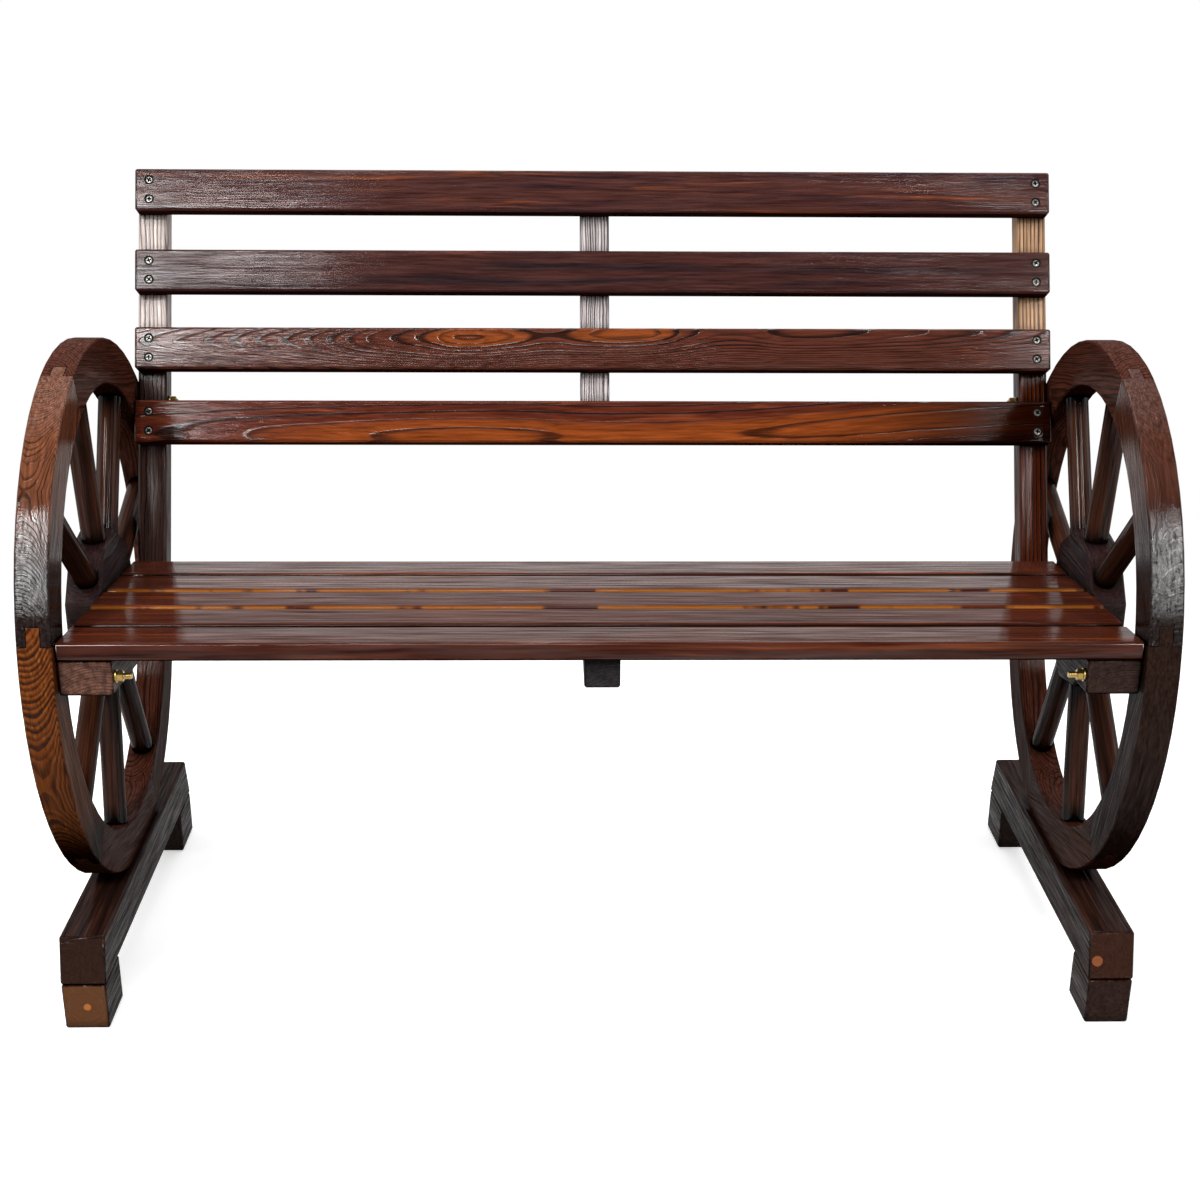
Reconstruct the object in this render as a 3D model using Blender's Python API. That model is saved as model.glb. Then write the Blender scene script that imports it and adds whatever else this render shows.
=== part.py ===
"""Two-seat garden bench carried by a pair of wooden wagon wheels.

Each wheel has a rim of six felloes joined by tongues in slots, nine round spokes let into sockets and a
faceted hub. The wheels stand on flats on two footed beams. The slatted seat hangs between the wheels on
bearers bolted to the rims and hubs, and the slatted back stands on two leaning posts.

Metres, +X to the right of someone facing the bench, -Y to its front, +Z up, floor at Z = 0.
Angles on a wheel run from its top towards the front.
"""
import math
from collections import namedtuple

import bmesh
import bpy
from mathutils import Matrix, Vector

# Fits
FIT_GAP = 0.0003
HOLE_CLEARANCE = 0.0003
CUT_OVERSHOOT = 0.01
CUT_TOLERANCE = 1e-6

# Wheels
WHEEL_RADIUS = 0.285
RIM_DEPTH = 0.0475
RIM_WIDTH = 0.033
RIM_FLAT_DEPTH = 0.0095
CLEAR_WIDTH = 1.0314
FELLOE_COUNT = 6
FIRST_SEAM = math.radians(19)
TONGUE_LENGTH = 0.019
TONGUE_WIDTH = 0.013
SPOKE_COUNT = 9
FIRST_SPOKE = math.radians(9)
SPOKE_DIAMETER = 0.025
SPOKE_IN_RIM = 0.016
SPOKE_IN_HUB = 0.022
HUB_APOTHEM = 0.082
HUB_LENGTH = 0.037

# Base
BEAM_WIDTH = 0.047
BEAM_HEIGHT = 0.0486
BEAM_LENGTH = 0.494
BEAM_END_SLOPE = 0.015
FOOT_WIDTH = 0.046
FOOT_LENGTH = 0.067
FOOT_HEIGHT = 0.051

# Seat, measured along its own slope
SEAT_SLOPE = math.radians(4.34)
SEAT_FRONT_INSET = 0.0095
SEAT_SLAT_COUNT = 5
SEAT_SLAT_WIDTH = 0.061
SEAT_SLAT_GAP = 0.012
SEAT_SLAT_THICKNESS = 0.018
BEARER_WIDTH = 0.052
BEARER_HEIGHT = 0.0345
BEARER_SETBACK = 0.003
CENTRE_BEARER_WIDTH = 0.035
CENTRE_BEARER_SETBACK = 0.027
CENTRE_BEARER_REAR_INSET = 0.012

# Back, measured along its own lean
BACK_LEAN = math.radians(25.15)
BACK_TOP_ABOVE_CROSSING = 0.2628
BACK_SLAT_HEIGHT = 0.0473
BACK_SLAT_THICKNESS = 0.019
BACK_SLAT_GAPS = (0.0436, 0.0403, 0.035)
POST_WIDTH = 0.032
POST_DEPTH = 0.030
POST_TOP_DROP = 0.002
POST_TAIL = 0.006
BATTEN_WIDTH = 0.033
BATTEN_DEPTH = 0.028
BATTEN_END_INSET = 0.014
BACK_SCREW_SPACING = 0.0215

# Eased edges
BOARD_EDGE = 0.002
RIM_EDGE = 0.0015
HUB_EDGE = 0.0025

# Holes for wood screws: the screw's length, shank and head, and how far its head is sunk
Screw = namedtuple("Screw", "length shank head sunk")
BACK_SCREW = Screw(length=0.038, shank=0.0045, head=0.009, sunk=0.0006)
SEAT_SCREW = Screw(length=0.042, shank=0.0045, head=0.009, sunk=0.003)
BASE_SCREW = Screw(length=0.070, shank=0.006, head=0.012, sunk=0.004)
POST_SCREW = Screw(length=0.056, shank=0.006, head=0.012, sunk=0.002)
WHEEL_SCREW_SPACING = 0.060
WHEEL_SCREW_SHIFT = 0.015
FOOT_SCREW_SPACING = 0.036

# Carriage bolts with their nuts and washers
BOLT_DIAMETER = 0.006
BOLT_HEAD_DIAMETER = 0.016
BOLT_HEAD_HEIGHT = 0.0035
BOLT_ENDS = {"front": 0.008, "hub": 0.006, "post": 0.002}
FRONT_BOLT_INSET = 0.0225
POST_CROSSING_ANGLE = math.radians(48.07)
POST_BOLT_RISE = 0.008
NUT_ACROSS_FLATS = 0.010
NUT_THICKNESS = 0.006
WASHER_DIAMETER = 0.013
WASHER_THICKNESS = 0.002

# Facets
FELLOE_FACETS = 10
SPOKE_SIDES = 16
SCREW_SIDES = 8
BOLT_SIDES = 12
DOME_RINGS = 3
SHARP_ANGLE = math.radians(30)

# Places that follow from the sizes above
SIDES = {"left": -1, "right": 1}
RIM_INNER_RADIUS = WHEEL_RADIUS - RIM_DEPTH
RIM_MIDDLE_RADIUS = WHEEL_RADIUS - RIM_DEPTH / 2
WHEEL_INNER_X = CLEAR_WIDTH / 2
WHEEL_MIDDLE_X = WHEEL_INNER_X + RIM_WIDTH / 2
WHEEL_OUTER_X = WHEEL_INNER_X + RIM_WIDTH
INSIDE_X = WHEEL_INNER_X - FIT_GAP
BEARER_INNER_X = INSIDE_X - BEARER_WIDTH
POST_INNER_X = INSIDE_X - POST_WIDTH
BEAM_BOTTOM = FOOT_HEIGHT + FIT_GAP
BEAM_TOP = BEAM_BOTTOM + BEAM_HEIGHT
AXLE_HEIGHT = BEAM_TOP + FIT_GAP + WHEEL_RADIUS - RIM_FLAT_DEPTH
SEAT_FRONT_TO_AXLE = WHEEL_RADIUS - SEAT_FRONT_INSET
FRONT_BOLT_RADIUS = WHEEL_RADIUS - FRONT_BOLT_INSET
SEAT_SLAT_PITCH = SEAT_SLAT_WIDTH + SEAT_SLAT_GAP
SEAT_DEPTH = SEAT_SLAT_COUNT * SEAT_SLAT_PITCH - SEAT_SLAT_GAP
BEARER_TOP = -SEAT_SLAT_THICKNESS - FIT_GAP
BEARER_BOTTOM = BEARER_TOP - BEARER_HEIGHT
BEARER_MIDDLE = (BEARER_TOP + BEARER_BOTTOM) / 2
POST_FRONT = BACK_SLAT_THICKNESS + FIT_GAP
POST_REAR = POST_FRONT + POST_DEPTH
POST_MIDDLE = POST_FRONT + POST_DEPTH / 2
BATTEN_REAR = POST_FRONT + BATTEN_DEPTH


class Plane:
    """A tilted side view: its own depth and height axes, leaning back from the bench's Y and Z."""

    def __init__(self, origin, tilt):
        self.origin = Vector(origin)
        self.tilt = tilt
        self.depth = Vector((math.cos(tilt), -math.sin(tilt)))
        self.height = Vector((math.sin(tilt), math.cos(tilt)))

    def to_bench(self, depth, height):
        return self.origin + depth * self.depth + height * self.height

    def from_bench(self, point):
        offset = point - self.origin
        return Vector((offset.dot(self.depth), offset.dot(self.height)))


def around(radius, angle):
    """The depth and height, from the axle, of a point on the wheel."""
    return -radius * math.sin(angle), radius * math.cos(angle)


def seat_plane():
    """The seat's plane, set so that the middle of the side bearers passes through the axle."""
    at_axle = Plane((0, AXLE_HEIGHT), SEAT_SLOPE)
    return Plane(at_axle.to_bench(-SEAT_FRONT_TO_AXLE, -BEARER_MIDDLE), SEAT_SLOPE)


def post_crossing():
    """Where the middle of the post crosses the middle of the rim, up behind the axle."""
    depth, height = around(RIM_MIDDLE_RADIUS, -POST_CROSSING_ANGLE)
    return Vector((depth, AXLE_HEIGHT + height))


def back_plane():
    """The back's plane through the top slat's front edge, set out from where post and rim cross."""
    at_crossing = Plane(post_crossing(), BACK_LEAN)
    return Plane(at_crossing.to_bench(-POST_MIDDLE, BACK_TOP_ABOVE_CROSSING), BACK_LEAN)


SEAT = seat_plane()
BACK = back_plane()


def meet_post(height):
    """How far back the bearer's line at this height runs until it reaches the post's front face."""
    start = BACK.from_bench(SEAT.to_bench(0, height)).x
    per_metre = SEAT.depth.dot(BACK.depth)
    return (POST_FRONT - FIT_GAP - start) / per_metre


# Making meshes

def close_rings(bm, rings):
    """Skin a row of matching rings and close its two ends."""
    loops = [[bm.verts.new(point) for point in ring] for ring in rings]
    bm.faces.new(loops[0])
    bm.faces.new(loops[-1])
    for near, far in zip(loops, loops[1:]):
        bridge(bm, near, far)


def bridge(bm, near, far):
    count = len(near)
    for index in range(count):
        after = (index + 1) % count
        bm.faces.new((near[index], near[after], far[after], far[index]))


def aim(start, direction):
    """A turning axis that starts at a point and runs along a direction."""
    return Matrix.Translation(start) @ direction.to_track_quat("Z", "Y").to_matrix().to_4x4()


def circle(axis, along, radii):
    count = len(radii)
    points = []
    for index, radius in enumerate(radii):
        turn = 2 * math.pi * index / count
        points.append(axis @ Vector((radius * math.cos(turn), radius * math.sin(turn), along)))
    return points


def turned(bm, profile, axis, sides):
    """A solid turned from a profile of distances along the axis and radii."""
    close_rings(bm, [circle(axis, along, [radius] * sides) for along, radius in profile])


def board(outline, x_from, x_to):
    """A board sawn to a side outline of depths and heights, with eased edges."""
    bm = bmesh.new()
    close_rings(bm, [[(x, depth, height) for depth, height in outline] for x in (x_from, x_to)])
    bmesh.ops.recalc_face_normals(bm, faces=bm.faces)
    bmesh.ops.bevel(bm, geom=bm.edges[:], offset=BOARD_EDGE, segments=1, affect="EDGES")
    return bm


def rectangle(front, rear, bottom, top):
    return [(front, bottom), (rear, bottom), (rear, top), (front, top)]


# Making objects

def finish(name, colour, roughness, metallic=0.0):
    made = bpy.data.materials.new(name)
    made.use_nodes = True
    shader = made.node_tree.nodes["Principled BSDF"]
    shader.inputs["Base Color"].default_value = (*colour, 1.0)
    shader.inputs["Roughness"].default_value = roughness
    shader.inputs["Metallic"].default_value = metallic
    return made


def frame(name, place, parent=None, tilt=0.0):
    empty = bpy.data.objects.new(name, None)
    empty.location = place
    empty.rotation_euler.x = -tilt
    empty.parent = parent
    bpy.context.scene.collection.objects.link(empty)
    return empty


def piece(name, bm, parent, material=None, side=1):
    """An object made from a right-hand mesh, mirrored for the left."""
    if side < 0:
        bmesh.ops.scale(bm, vec=(-1, 1, 1), verts=bm.verts)
    bmesh.ops.recalc_face_normals(bm, faces=bm.faces)
    mesh = bpy.data.meshes.new(name)
    bm.to_mesh(mesh)
    bm.free()
    mesh.materials.append(material)
    mesh.shade_smooth()
    mesh.set_sharp_from_angle(angle=SHARP_ANGLE)
    made = bpy.data.objects.new(name, mesh)
    made.parent = parent
    bpy.context.scene.collection.objects.link(made)
    return made


def cutter(name, bm, parent):
    made = piece(name, bm, parent)
    made.hide_render = True
    made.display_type = "WIRE"
    return made


def cut(target, *tools):
    for tool in tools:
        step = target.modifiers.new(tool.name, "BOOLEAN")
        step.operation = "DIFFERENCE"
        step.solver = "EXACT"
        step.object = tool


# Bolts, and the holes of bolts and screws

def hole_profile(screw):
    """A countersunk hole from outside the wood to past the screw's point."""
    head = screw.head / 2 + HOLE_CLEARANCE
    shank = screw.shank / 2 + HOLE_CLEARANCE
    end = screw.length + HOLE_CLEARANCE
    return [(-screw.sunk - CUT_OVERSHOOT, head), (0, head), (head - shank, shank), (end, shank)]


def screw_holes(name, screw, places, parent):
    """The cutter for countersunk holes that take screws of one kind."""
    bm = bmesh.new()
    for start, direction in places:
        axis = aim(start + direction * screw.sunk, direction)
        turned(bm, hole_profile(screw), axis, SCREW_SIDES)
    return cutter(name, bm, parent)


def back_slat_tops():
    tops = [0.0]
    for gap in BACK_SLAT_GAPS:
        tops.append(tops[-1] - BACK_SLAT_HEIGHT - gap)
    return tops


def back_screw_places():
    """Two screws through each slat end into the post, and one from behind through the batten."""
    places = []
    post_x = (INSIDE_X + POST_INNER_X) / 2
    for top in back_slat_tops():
        middle = top - BACK_SLAT_HEIGHT / 2
        places.append((Vector((0, BATTEN_REAR, middle)), Vector((0, -1, 0))))
        for side in SIDES.values():
            for offset in (-BACK_SCREW_SPACING / 2, BACK_SCREW_SPACING / 2):
                places.append((Vector((side * post_x, 0, middle + offset)), Vector((0, 1, 0))))
    return places


def seat_screw_places():
    """One screw up through each bearer into the middle of each slat's part above that bearer."""
    bearer_x = (INSIDE_X + BEARER_INNER_X) / 2
    setbacks = {-bearer_x: BEARER_SETBACK, 0: CENTRE_BEARER_SETBACK, bearer_x: BEARER_SETBACK}
    places = []
    for index in range(SEAT_SLAT_COUNT):
        front = index * SEAT_SLAT_PITCH
        rear = front + SEAT_SLAT_WIDTH
        for x, setback in setbacks.items():
            depth = (max(front, setback) + rear) / 2
            places.append((Vector((x, depth, BEARER_BOTTOM)), Vector((0, 0, 1))))
    return places


def base_screw_places():
    """Up through each foot into the beam, and up through the beam into the rim's flat."""
    up = Vector((0, 0, 1))
    foot_middle = BEAM_LENGTH / 2 - FOOT_LENGTH / 2
    half_foot = FOOT_SCREW_SPACING / 2
    half_wheel = WHEEL_SCREW_SPACING / 2
    places = []
    for side in SIDES.values():
        x = side * WHEEL_MIDDLE_X
        for end in (-1, 1):
            for offset in (-half_foot, half_foot):
                places.append((Vector((x, end * foot_middle + offset, 0)), up))
        for offset in (-half_wheel, half_wheel):
            places.append((Vector((x, WHEEL_SCREW_SHIFT + offset, BEAM_BOTTOM)), up))
    return places


def post_screw_places():
    """From behind, square through the post's foot into the bearer's end."""
    end = BACK.from_bench(SEAT.to_bench(meet_post(BEARER_MIDDLE), BEARER_MIDDLE))
    x = (INSIDE_X + POST_INNER_X) / 2
    return [(Vector((side * x, POST_REAR, end.y)), Vector((0, -1, 0))) for side in SIDES.values()]


def post_bolt():
    """The bolt through post and rim, a little up the post from the middle of the crossing."""
    return Plane(post_crossing(), BACK_LEAN).to_bench(0, POST_BOLT_RISE)


def bolt_places():
    """The bolts of one side: depth and height from the axle, and where head and washer sit."""
    axle = Vector((0, AXLE_HEIGHT))
    front = SEAT.to_bench(SEAT_FRONT_TO_AXLE - FRONT_BOLT_RADIUS, BEARER_MIDDLE) - axle
    return {
        "front": (front, WHEEL_OUTER_X, BEARER_INNER_X),
        "hub": (Vector((0, 0)), WHEEL_INNER_X + HUB_LENGTH, BEARER_INNER_X),
        "post": (post_bolt() - axle, WHEEL_OUTER_X, POST_INNER_X),
    }


def dome_profile():
    """The bolt's domed head, from near its crown to its rim."""
    base = BOLT_HEAD_DIAMETER / 2
    sphere = (base ** 2 + BOLT_HEAD_HEIGHT ** 2) / (2 * BOLT_HEAD_HEIGHT)
    profile = []
    for ring in range(DOME_RINGS):
        drop = BOLT_HEAD_HEIGHT * ((ring + 0.5) / DOME_RINGS) ** 2
        profile.append((drop - BOLT_HEAD_HEIGHT, math.sqrt(2 * sphere * drop - drop ** 2)))
    return profile + [(0, base)]


def bolt(axis, grip, end):
    """A domed bolt through this much wood, with washer and nut run up tight, and its end past the nut."""
    shank = BOLT_DIAMETER / 2
    washer = WASHER_DIAMETER / 2
    flat = NUT_ACROSS_FLATS / 2
    corner = flat / math.cos(math.pi / 6)
    hexagon = [corner if index % 2 == 0 else flat for index in range(BOLT_SIDES)]
    washer_end = grip + WASHER_THICKNESS
    nut_end = washer_end + NUT_THICKNESS
    profile = dome_profile() + [(0, shank), (grip, shank), (grip, washer), (washer_end, washer)]
    rings = [circle(axis, along, [radius] * BOLT_SIDES) for along, radius in profile]
    rings += [circle(axis, along, hexagon) for along in (washer_end, nut_end)]
    rings += [circle(axis, along, [shank] * BOLT_SIDES) for along in (nut_end, nut_end + end)]
    bm = bmesh.new()
    close_rings(bm, rings)
    return bm


def bolts(parent, material):
    """The bolts, seated on the wood they clamp; returns the cutter for their holes."""
    holes = bmesh.new()
    bore = BOLT_DIAMETER / 2 + HOLE_CLEARANCE
    for label, side in SIDES.items():
        for place, ((depth, height), outer_x, inner_x) in bolt_places().items():
            axis = aim(Vector((side * (outer_x + FIT_GAP), depth, height)), Vector((-side, 0, 0)))
            grip = outer_x - inner_x + 2 * FIT_GAP
            piece(f"bolt_{label}_{place}", bolt(axis, grip, BOLT_ENDS[place]), parent, material)
            turned(holes, [(-CUT_OVERSHOOT, bore), (grip + CUT_OVERSHOOT, bore)], axis, BOLT_SIDES)
    return cutter("bolt_holes", holes, parent)


# Wheels

def felloe(first_seam):
    """A rim segment: drawn as its tread lies flat, with tongue and slot, then rolled round the axle."""
    seam_gap = FIT_GAP / RIM_INNER_RADIUS
    start = first_seam + seam_gap / 2
    end = first_seam + 2 * math.pi / FELLOE_COUNT - seam_gap / 2
    tongue = TONGUE_LENGTH / WHEEL_RADIUS
    cheek = (RIM_WIDTH - TONGUE_WIDTH) / 2
    slot = cheek - HOLE_CLEARANCE
    tread = [
        (0, start), (cheek, start), (cheek, start - tongue),
        (RIM_WIDTH - cheek, start - tongue), (RIM_WIDTH - cheek, start), (RIM_WIDTH, start),
        (RIM_WIDTH, end), (RIM_WIDTH - slot, end), (RIM_WIDTH - slot, end - tongue),
        (slot, end - tongue), (slot, end), (0, end),
    ]
    bm = bmesh.new()
    radii = (RIM_INNER_RADIUS, WHEEL_RADIUS)
    close_rings(bm, [[(x, turn, radius) for x, turn in tread] for radius in radii])
    bmesh.ops.recalc_face_normals(bm, faces=bm.faces)
    ease_rim(bm, end - start)
    step = (end - start) / FELLOE_FACETS
    cuts = [start + step * index for index in range(FELLOE_FACETS)] + [end - tongue]
    for turn in cuts:
        everything = bm.verts[:] + bm.edges[:] + bm.faces[:]
        plane = {"plane_co": (0, turn, 0), "plane_no": (0, 1, 0)}
        bmesh.ops.bisect_plane(bm, geom=everything, dist=CUT_TOLERANCE, **plane)
    for vert in bm.verts:
        across, turn, radius = vert.co
        vert.co = (WHEEL_INNER_X + across, *around(radius, turn))
    return bm


def ease_rim(bm, span):
    """Ease the four long edges of a felloe, which run the whole span between its shoulders."""
    long_edges = [edge for edge in bm.edges if edge.calc_length() > span - CUT_TOLERANCE]
    bmesh.ops.bevel(bm, geom=long_edges, offset=RIM_EDGE, segments=1, affect="EDGES")


def hub():
    """A block with one flat for each spoke."""
    step = 2 * math.pi / SPOKE_COUNT
    corner = HUB_APOTHEM / math.cos(step / 2)
    corners = [around(corner, FIRST_SPOKE + step * (index + 0.5)) for index in range(SPOKE_COUNT)]
    bm = bmesh.new()
    ends = (WHEEL_INNER_X, WHEEL_INNER_X + HUB_LENGTH)
    close_rings(bm, [[(x, *place) for place in corners] for x in ends])
    bmesh.ops.recalc_face_normals(bm, faces=bm.faces)
    bmesh.ops.bevel(bm, geom=bm.edges[:], offset=HUB_EDGE, segments=1, affect="EDGES")
    return bm


def spoke(bm, index, side, clearance):
    """A round spoke from its hub socket to its rim socket, or with a clearance the two sockets."""
    angle = FIRST_SPOKE + 2 * math.pi * index / SPOKE_COUNT
    outward = Vector((0, *around(1, angle)))
    start = HUB_APOTHEM - SPOKE_IN_HUB - clearance
    end = RIM_INNER_RADIUS + SPOKE_IN_RIM + clearance
    axis = aim(Vector((side * WHEEL_MIDDLE_X, 0, 0)), outward)
    radius = SPOKE_DIAMETER / 2 + clearance
    turned(bm, [(start, radius), (end, radius)], axis, SPOKE_SIDES)


def spoke_sockets(parent):
    bm = bmesh.new()
    for side in SIDES.values():
        for index in range(SPOKE_COUNT):
            spoke(bm, index, side, HOLE_CLEARANCE)
    return cutter("spoke_sockets", bm, parent)


def rim_flat(parent):
    """What is planed off below the rim so that it stands on the beam."""
    reach = WHEEL_OUTER_X + CUT_OVERSHOOT
    flat = RIM_FLAT_DEPTH - WHEEL_RADIUS
    planed = rectangle(-WHEEL_RADIUS, WHEEL_RADIUS, flat - CUT_OVERSHOOT, flat)
    bm = bmesh.new()
    close_rings(bm, [[(x, depth, height) for depth, height in planed] for x in (-reach, reach)])
    return cutter("rim_flat", bm, parent)


def wheels(parent, rim_wood, spoke_wood, rim_tools, hub_tools):
    for label, side in SIDES.items():
        for index in range(FELLOE_COUNT):
            seam = FIRST_SEAM + 2 * math.pi * index / FELLOE_COUNT
            made = piece(f"felloe_{label}_{index + 1}", felloe(seam), parent, rim_wood, side)
            cut(made, *rim_tools)
        for index in range(SPOKE_COUNT):
            bm = bmesh.new()
            spoke(bm, index, side, 0.0)
            piece(f"spoke_{label}_{index + 1}", bm, parent, spoke_wood)
        made = piece(f"hub_{label}", hub(), parent, rim_wood, side)
        cut(made, *hub_tools)


# Base, seat and back

def base(parent, wood, holes):
    half = BEAM_LENGTH / 2
    beam_outline = [
        (-half, BEAM_BOTTOM), (half, BEAM_BOTTOM),
        (half - BEAM_END_SLOPE, BEAM_TOP), (BEAM_END_SLOPE - half, BEAM_TOP),
    ]
    beam_x = (WHEEL_MIDDLE_X - BEAM_WIDTH / 2, WHEEL_MIDDLE_X + BEAM_WIDTH / 2)
    foot_x = (WHEEL_MIDDLE_X - FOOT_WIDTH / 2, WHEEL_MIDDLE_X + FOOT_WIDTH / 2)
    feet = {"front": -half, "rear": half - FOOT_LENGTH}
    for label, side in SIDES.items():
        made = piece(f"base_beam_{label}", board(beam_outline, *beam_x), parent, wood, side)
        cut(made, holes)
        for end, start in feet.items():
            outline = rectangle(start, start + FOOT_LENGTH, 0, FOOT_HEIGHT)
            made = piece(f"foot_{label}_{end}", board(outline, *foot_x), parent, wood, side)
            cut(made, holes)


def seat(parent, wood, screw_holes, side_tools):
    for index in range(SEAT_SLAT_COUNT):
        front = index * SEAT_SLAT_PITCH
        outline = rectangle(front, front + SEAT_SLAT_WIDTH, -SEAT_SLAT_THICKNESS, 0)
        made = piece(f"seat_slat_{index + 1}", board(outline, -INSIDE_X, INSIDE_X), parent, wood)
        cut(made, screw_holes)
    outline = [
        (BEARER_SETBACK, BEARER_BOTTOM), (meet_post(BEARER_BOTTOM), BEARER_BOTTOM),
        (meet_post(BEARER_TOP), BEARER_TOP), (BEARER_SETBACK, BEARER_TOP),
    ]
    for label, side in SIDES.items():
        made = piece(f"seat_bearer_{label}", board(outline, BEARER_INNER_X, INSIDE_X), parent, wood, side)
        cut(made, screw_holes, *side_tools)
    rear = SEAT_DEPTH - CENTRE_BEARER_REAR_INSET
    outline = rectangle(CENTRE_BEARER_SETBACK, rear, BEARER_BOTTOM, BEARER_TOP)
    half = CENTRE_BEARER_WIDTH / 2
    made = piece("seat_bearer_centre", board(outline, -half, half), parent, wood)
    cut(made, screw_holes)


def back(parent, slat_wood, post_wood, screw_holes, post_tools):
    tops = back_slat_tops()
    for index, top in enumerate(tops):
        outline = rectangle(0, BACK_SLAT_THICKNESS, top - BACK_SLAT_HEIGHT, top)
        made = piece(f"back_slat_{index + 1}", board(outline, -INSIDE_X, INSIDE_X), parent, slat_wood)
        cut(made, screw_holes)
    bearer_end = BACK.from_bench(SEAT.to_bench(meet_post(BEARER_BOTTOM), BEARER_BOTTOM))
    outline = rectangle(POST_FRONT, POST_REAR, bearer_end.y - POST_TAIL, -POST_TOP_DROP)
    for label, side in SIDES.items():
        made = piece(f"back_post_{label}", board(outline, POST_INNER_X, INSIDE_X), parent, post_wood, side)
        cut(made, screw_holes, *post_tools)
    low = tops[-1] - BACK_SLAT_HEIGHT + BATTEN_END_INSET
    outline = rectangle(POST_FRONT, BATTEN_REAR, low, -BATTEN_END_INSET)
    half = BATTEN_WIDTH / 2
    made = piece("back_batten", board(outline, -half, half), parent, post_wood)
    cut(made, screw_holes)


def stand_on_middle(root):
    """Slide the bench so that its footprint is centred on the origin."""
    bpy.context.view_layer.update()
    depths = []
    for item in bpy.data.objects:
        if item.type == "MESH" and not item.hide_render:
            depths += [(item.matrix_world @ vert.co).y for vert in item.data.vertices]
    root.location.y = -(min(depths) + max(depths)) / 2


def main():
    for item in list(bpy.data.objects):
        bpy.data.objects.remove(item, do_unlink=True)
    dark_fir = finish("stained_fir_dark", (0.030, 0.015, 0.012), 0.35)
    red_fir = finish("stained_fir_red_brown", (0.060, 0.024, 0.014), 0.35)
    grey_fir = finish("stained_fir_grey_brown", (0.070, 0.048, 0.040), 0.40)
    zinc = finish("yellow_zinc_steel", (0.55, 0.38, 0.14), 0.35, 1.0)

    bench = frame("bench", (0, 0, 0))
    axle_line = frame("axle_line", (0, 0, AXLE_HEIGHT), bench)
    seat_frame = frame("seat_frame", (0, *SEAT.origin), bench, SEAT.tilt)
    back_frame = frame("back_frame", (0, *BACK.origin), bench, BACK.tilt)

    bolt_holes = bolts(axle_line, zinc)
    back_holes = screw_holes("back_screw_holes", BACK_SCREW, back_screw_places(), back_frame)
    seat_holes = screw_holes("seat_screw_holes", SEAT_SCREW, seat_screw_places(), seat_frame)
    base_holes = screw_holes("base_screw_holes", BASE_SCREW, base_screw_places(), bench)
    post_holes = screw_holes("post_screw_holes", POST_SCREW, post_screw_places(), back_frame)
    sockets = spoke_sockets(axle_line)

    rim_tools = (rim_flat(axle_line), sockets, bolt_holes, base_holes)
    wheels(axle_line, dark_fir, red_fir, rim_tools, (sockets, bolt_holes))
    base(bench, red_fir, base_holes)
    seat(seat_frame, dark_fir, seat_holes, (bolt_holes, post_holes))
    back(back_frame, red_fir, grey_fir, back_holes, (bolt_holes, post_holes))
    stand_on_middle(bench)


main()
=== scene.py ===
# %% [markdown]
# # Wagon wheel bench
# A garden bench of stained fir. Two wheels carry a seat of five slats and a back of four.
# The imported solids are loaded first, because every piece made here is fitted to them.

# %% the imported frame
import math
from collections import namedtuple

import bmesh
import bpy
from mathutils import Matrix, Vector


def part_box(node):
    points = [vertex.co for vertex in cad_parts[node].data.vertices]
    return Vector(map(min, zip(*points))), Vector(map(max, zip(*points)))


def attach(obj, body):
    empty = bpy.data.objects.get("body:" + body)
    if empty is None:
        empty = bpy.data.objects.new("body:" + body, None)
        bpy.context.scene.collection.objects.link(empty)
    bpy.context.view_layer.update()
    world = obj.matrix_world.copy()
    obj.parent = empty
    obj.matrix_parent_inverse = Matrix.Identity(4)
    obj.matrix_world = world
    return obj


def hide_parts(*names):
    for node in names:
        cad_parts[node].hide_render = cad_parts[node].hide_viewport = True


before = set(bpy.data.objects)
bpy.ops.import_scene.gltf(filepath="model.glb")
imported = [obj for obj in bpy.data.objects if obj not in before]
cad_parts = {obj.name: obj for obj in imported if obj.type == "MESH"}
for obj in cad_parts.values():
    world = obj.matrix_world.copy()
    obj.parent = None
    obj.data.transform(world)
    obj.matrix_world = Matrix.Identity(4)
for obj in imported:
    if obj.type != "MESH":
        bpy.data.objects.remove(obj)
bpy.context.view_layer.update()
scene = bpy.context.scene
MM = 0.001
print("pieces of wood and metal:", len(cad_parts))


# %% [markdown]
# ## Directions of the bench
# The seat slopes a little down to the back and the back leans away from the sitter.
# Grain, screws and bolts follow these two slopes and the wheel's axle, so they are found first.

# %% directions and places
SEAT_SLOPE = math.radians(4.34)
BACK_LEAN = math.radians(25.15)
ACROSS = Vector((1, 0, 0))
DEPTH = Vector((0, 1, 0))
UP = Vector((0, 0, 1))
SEAT_ALONG = Vector((0, math.cos(SEAT_SLOPE), -math.sin(SEAT_SLOPE)))
SEAT_UP = Vector((0, math.sin(SEAT_SLOPE), math.cos(SEAT_SLOPE)))
BACK_UP = Vector((0, math.sin(BACK_LEAN), math.cos(BACK_LEAN)))
BACK_OUT = Vector((0, -math.cos(BACK_LEAN), math.sin(BACK_LEAN)))
SIDES = {"left": -1, "right": 1}
FELLOES = 6
FIRST_SEAM = math.radians(19)
SPOKES = 9
FIRST_SPOKE = math.radians(9)


def middle(node):
    low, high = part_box(node)
    return (low + high) / 2


def turned_from_top(angle):
    """The direction at this angle round the axle, from the top towards the front."""
    return Vector((0, -math.sin(angle), math.cos(angle)))


AXLE = {side: middle(f"hub_{side}") for side in SIDES}
print("axle height in mm:", round(AXLE["left"].z / MM, 1))


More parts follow.
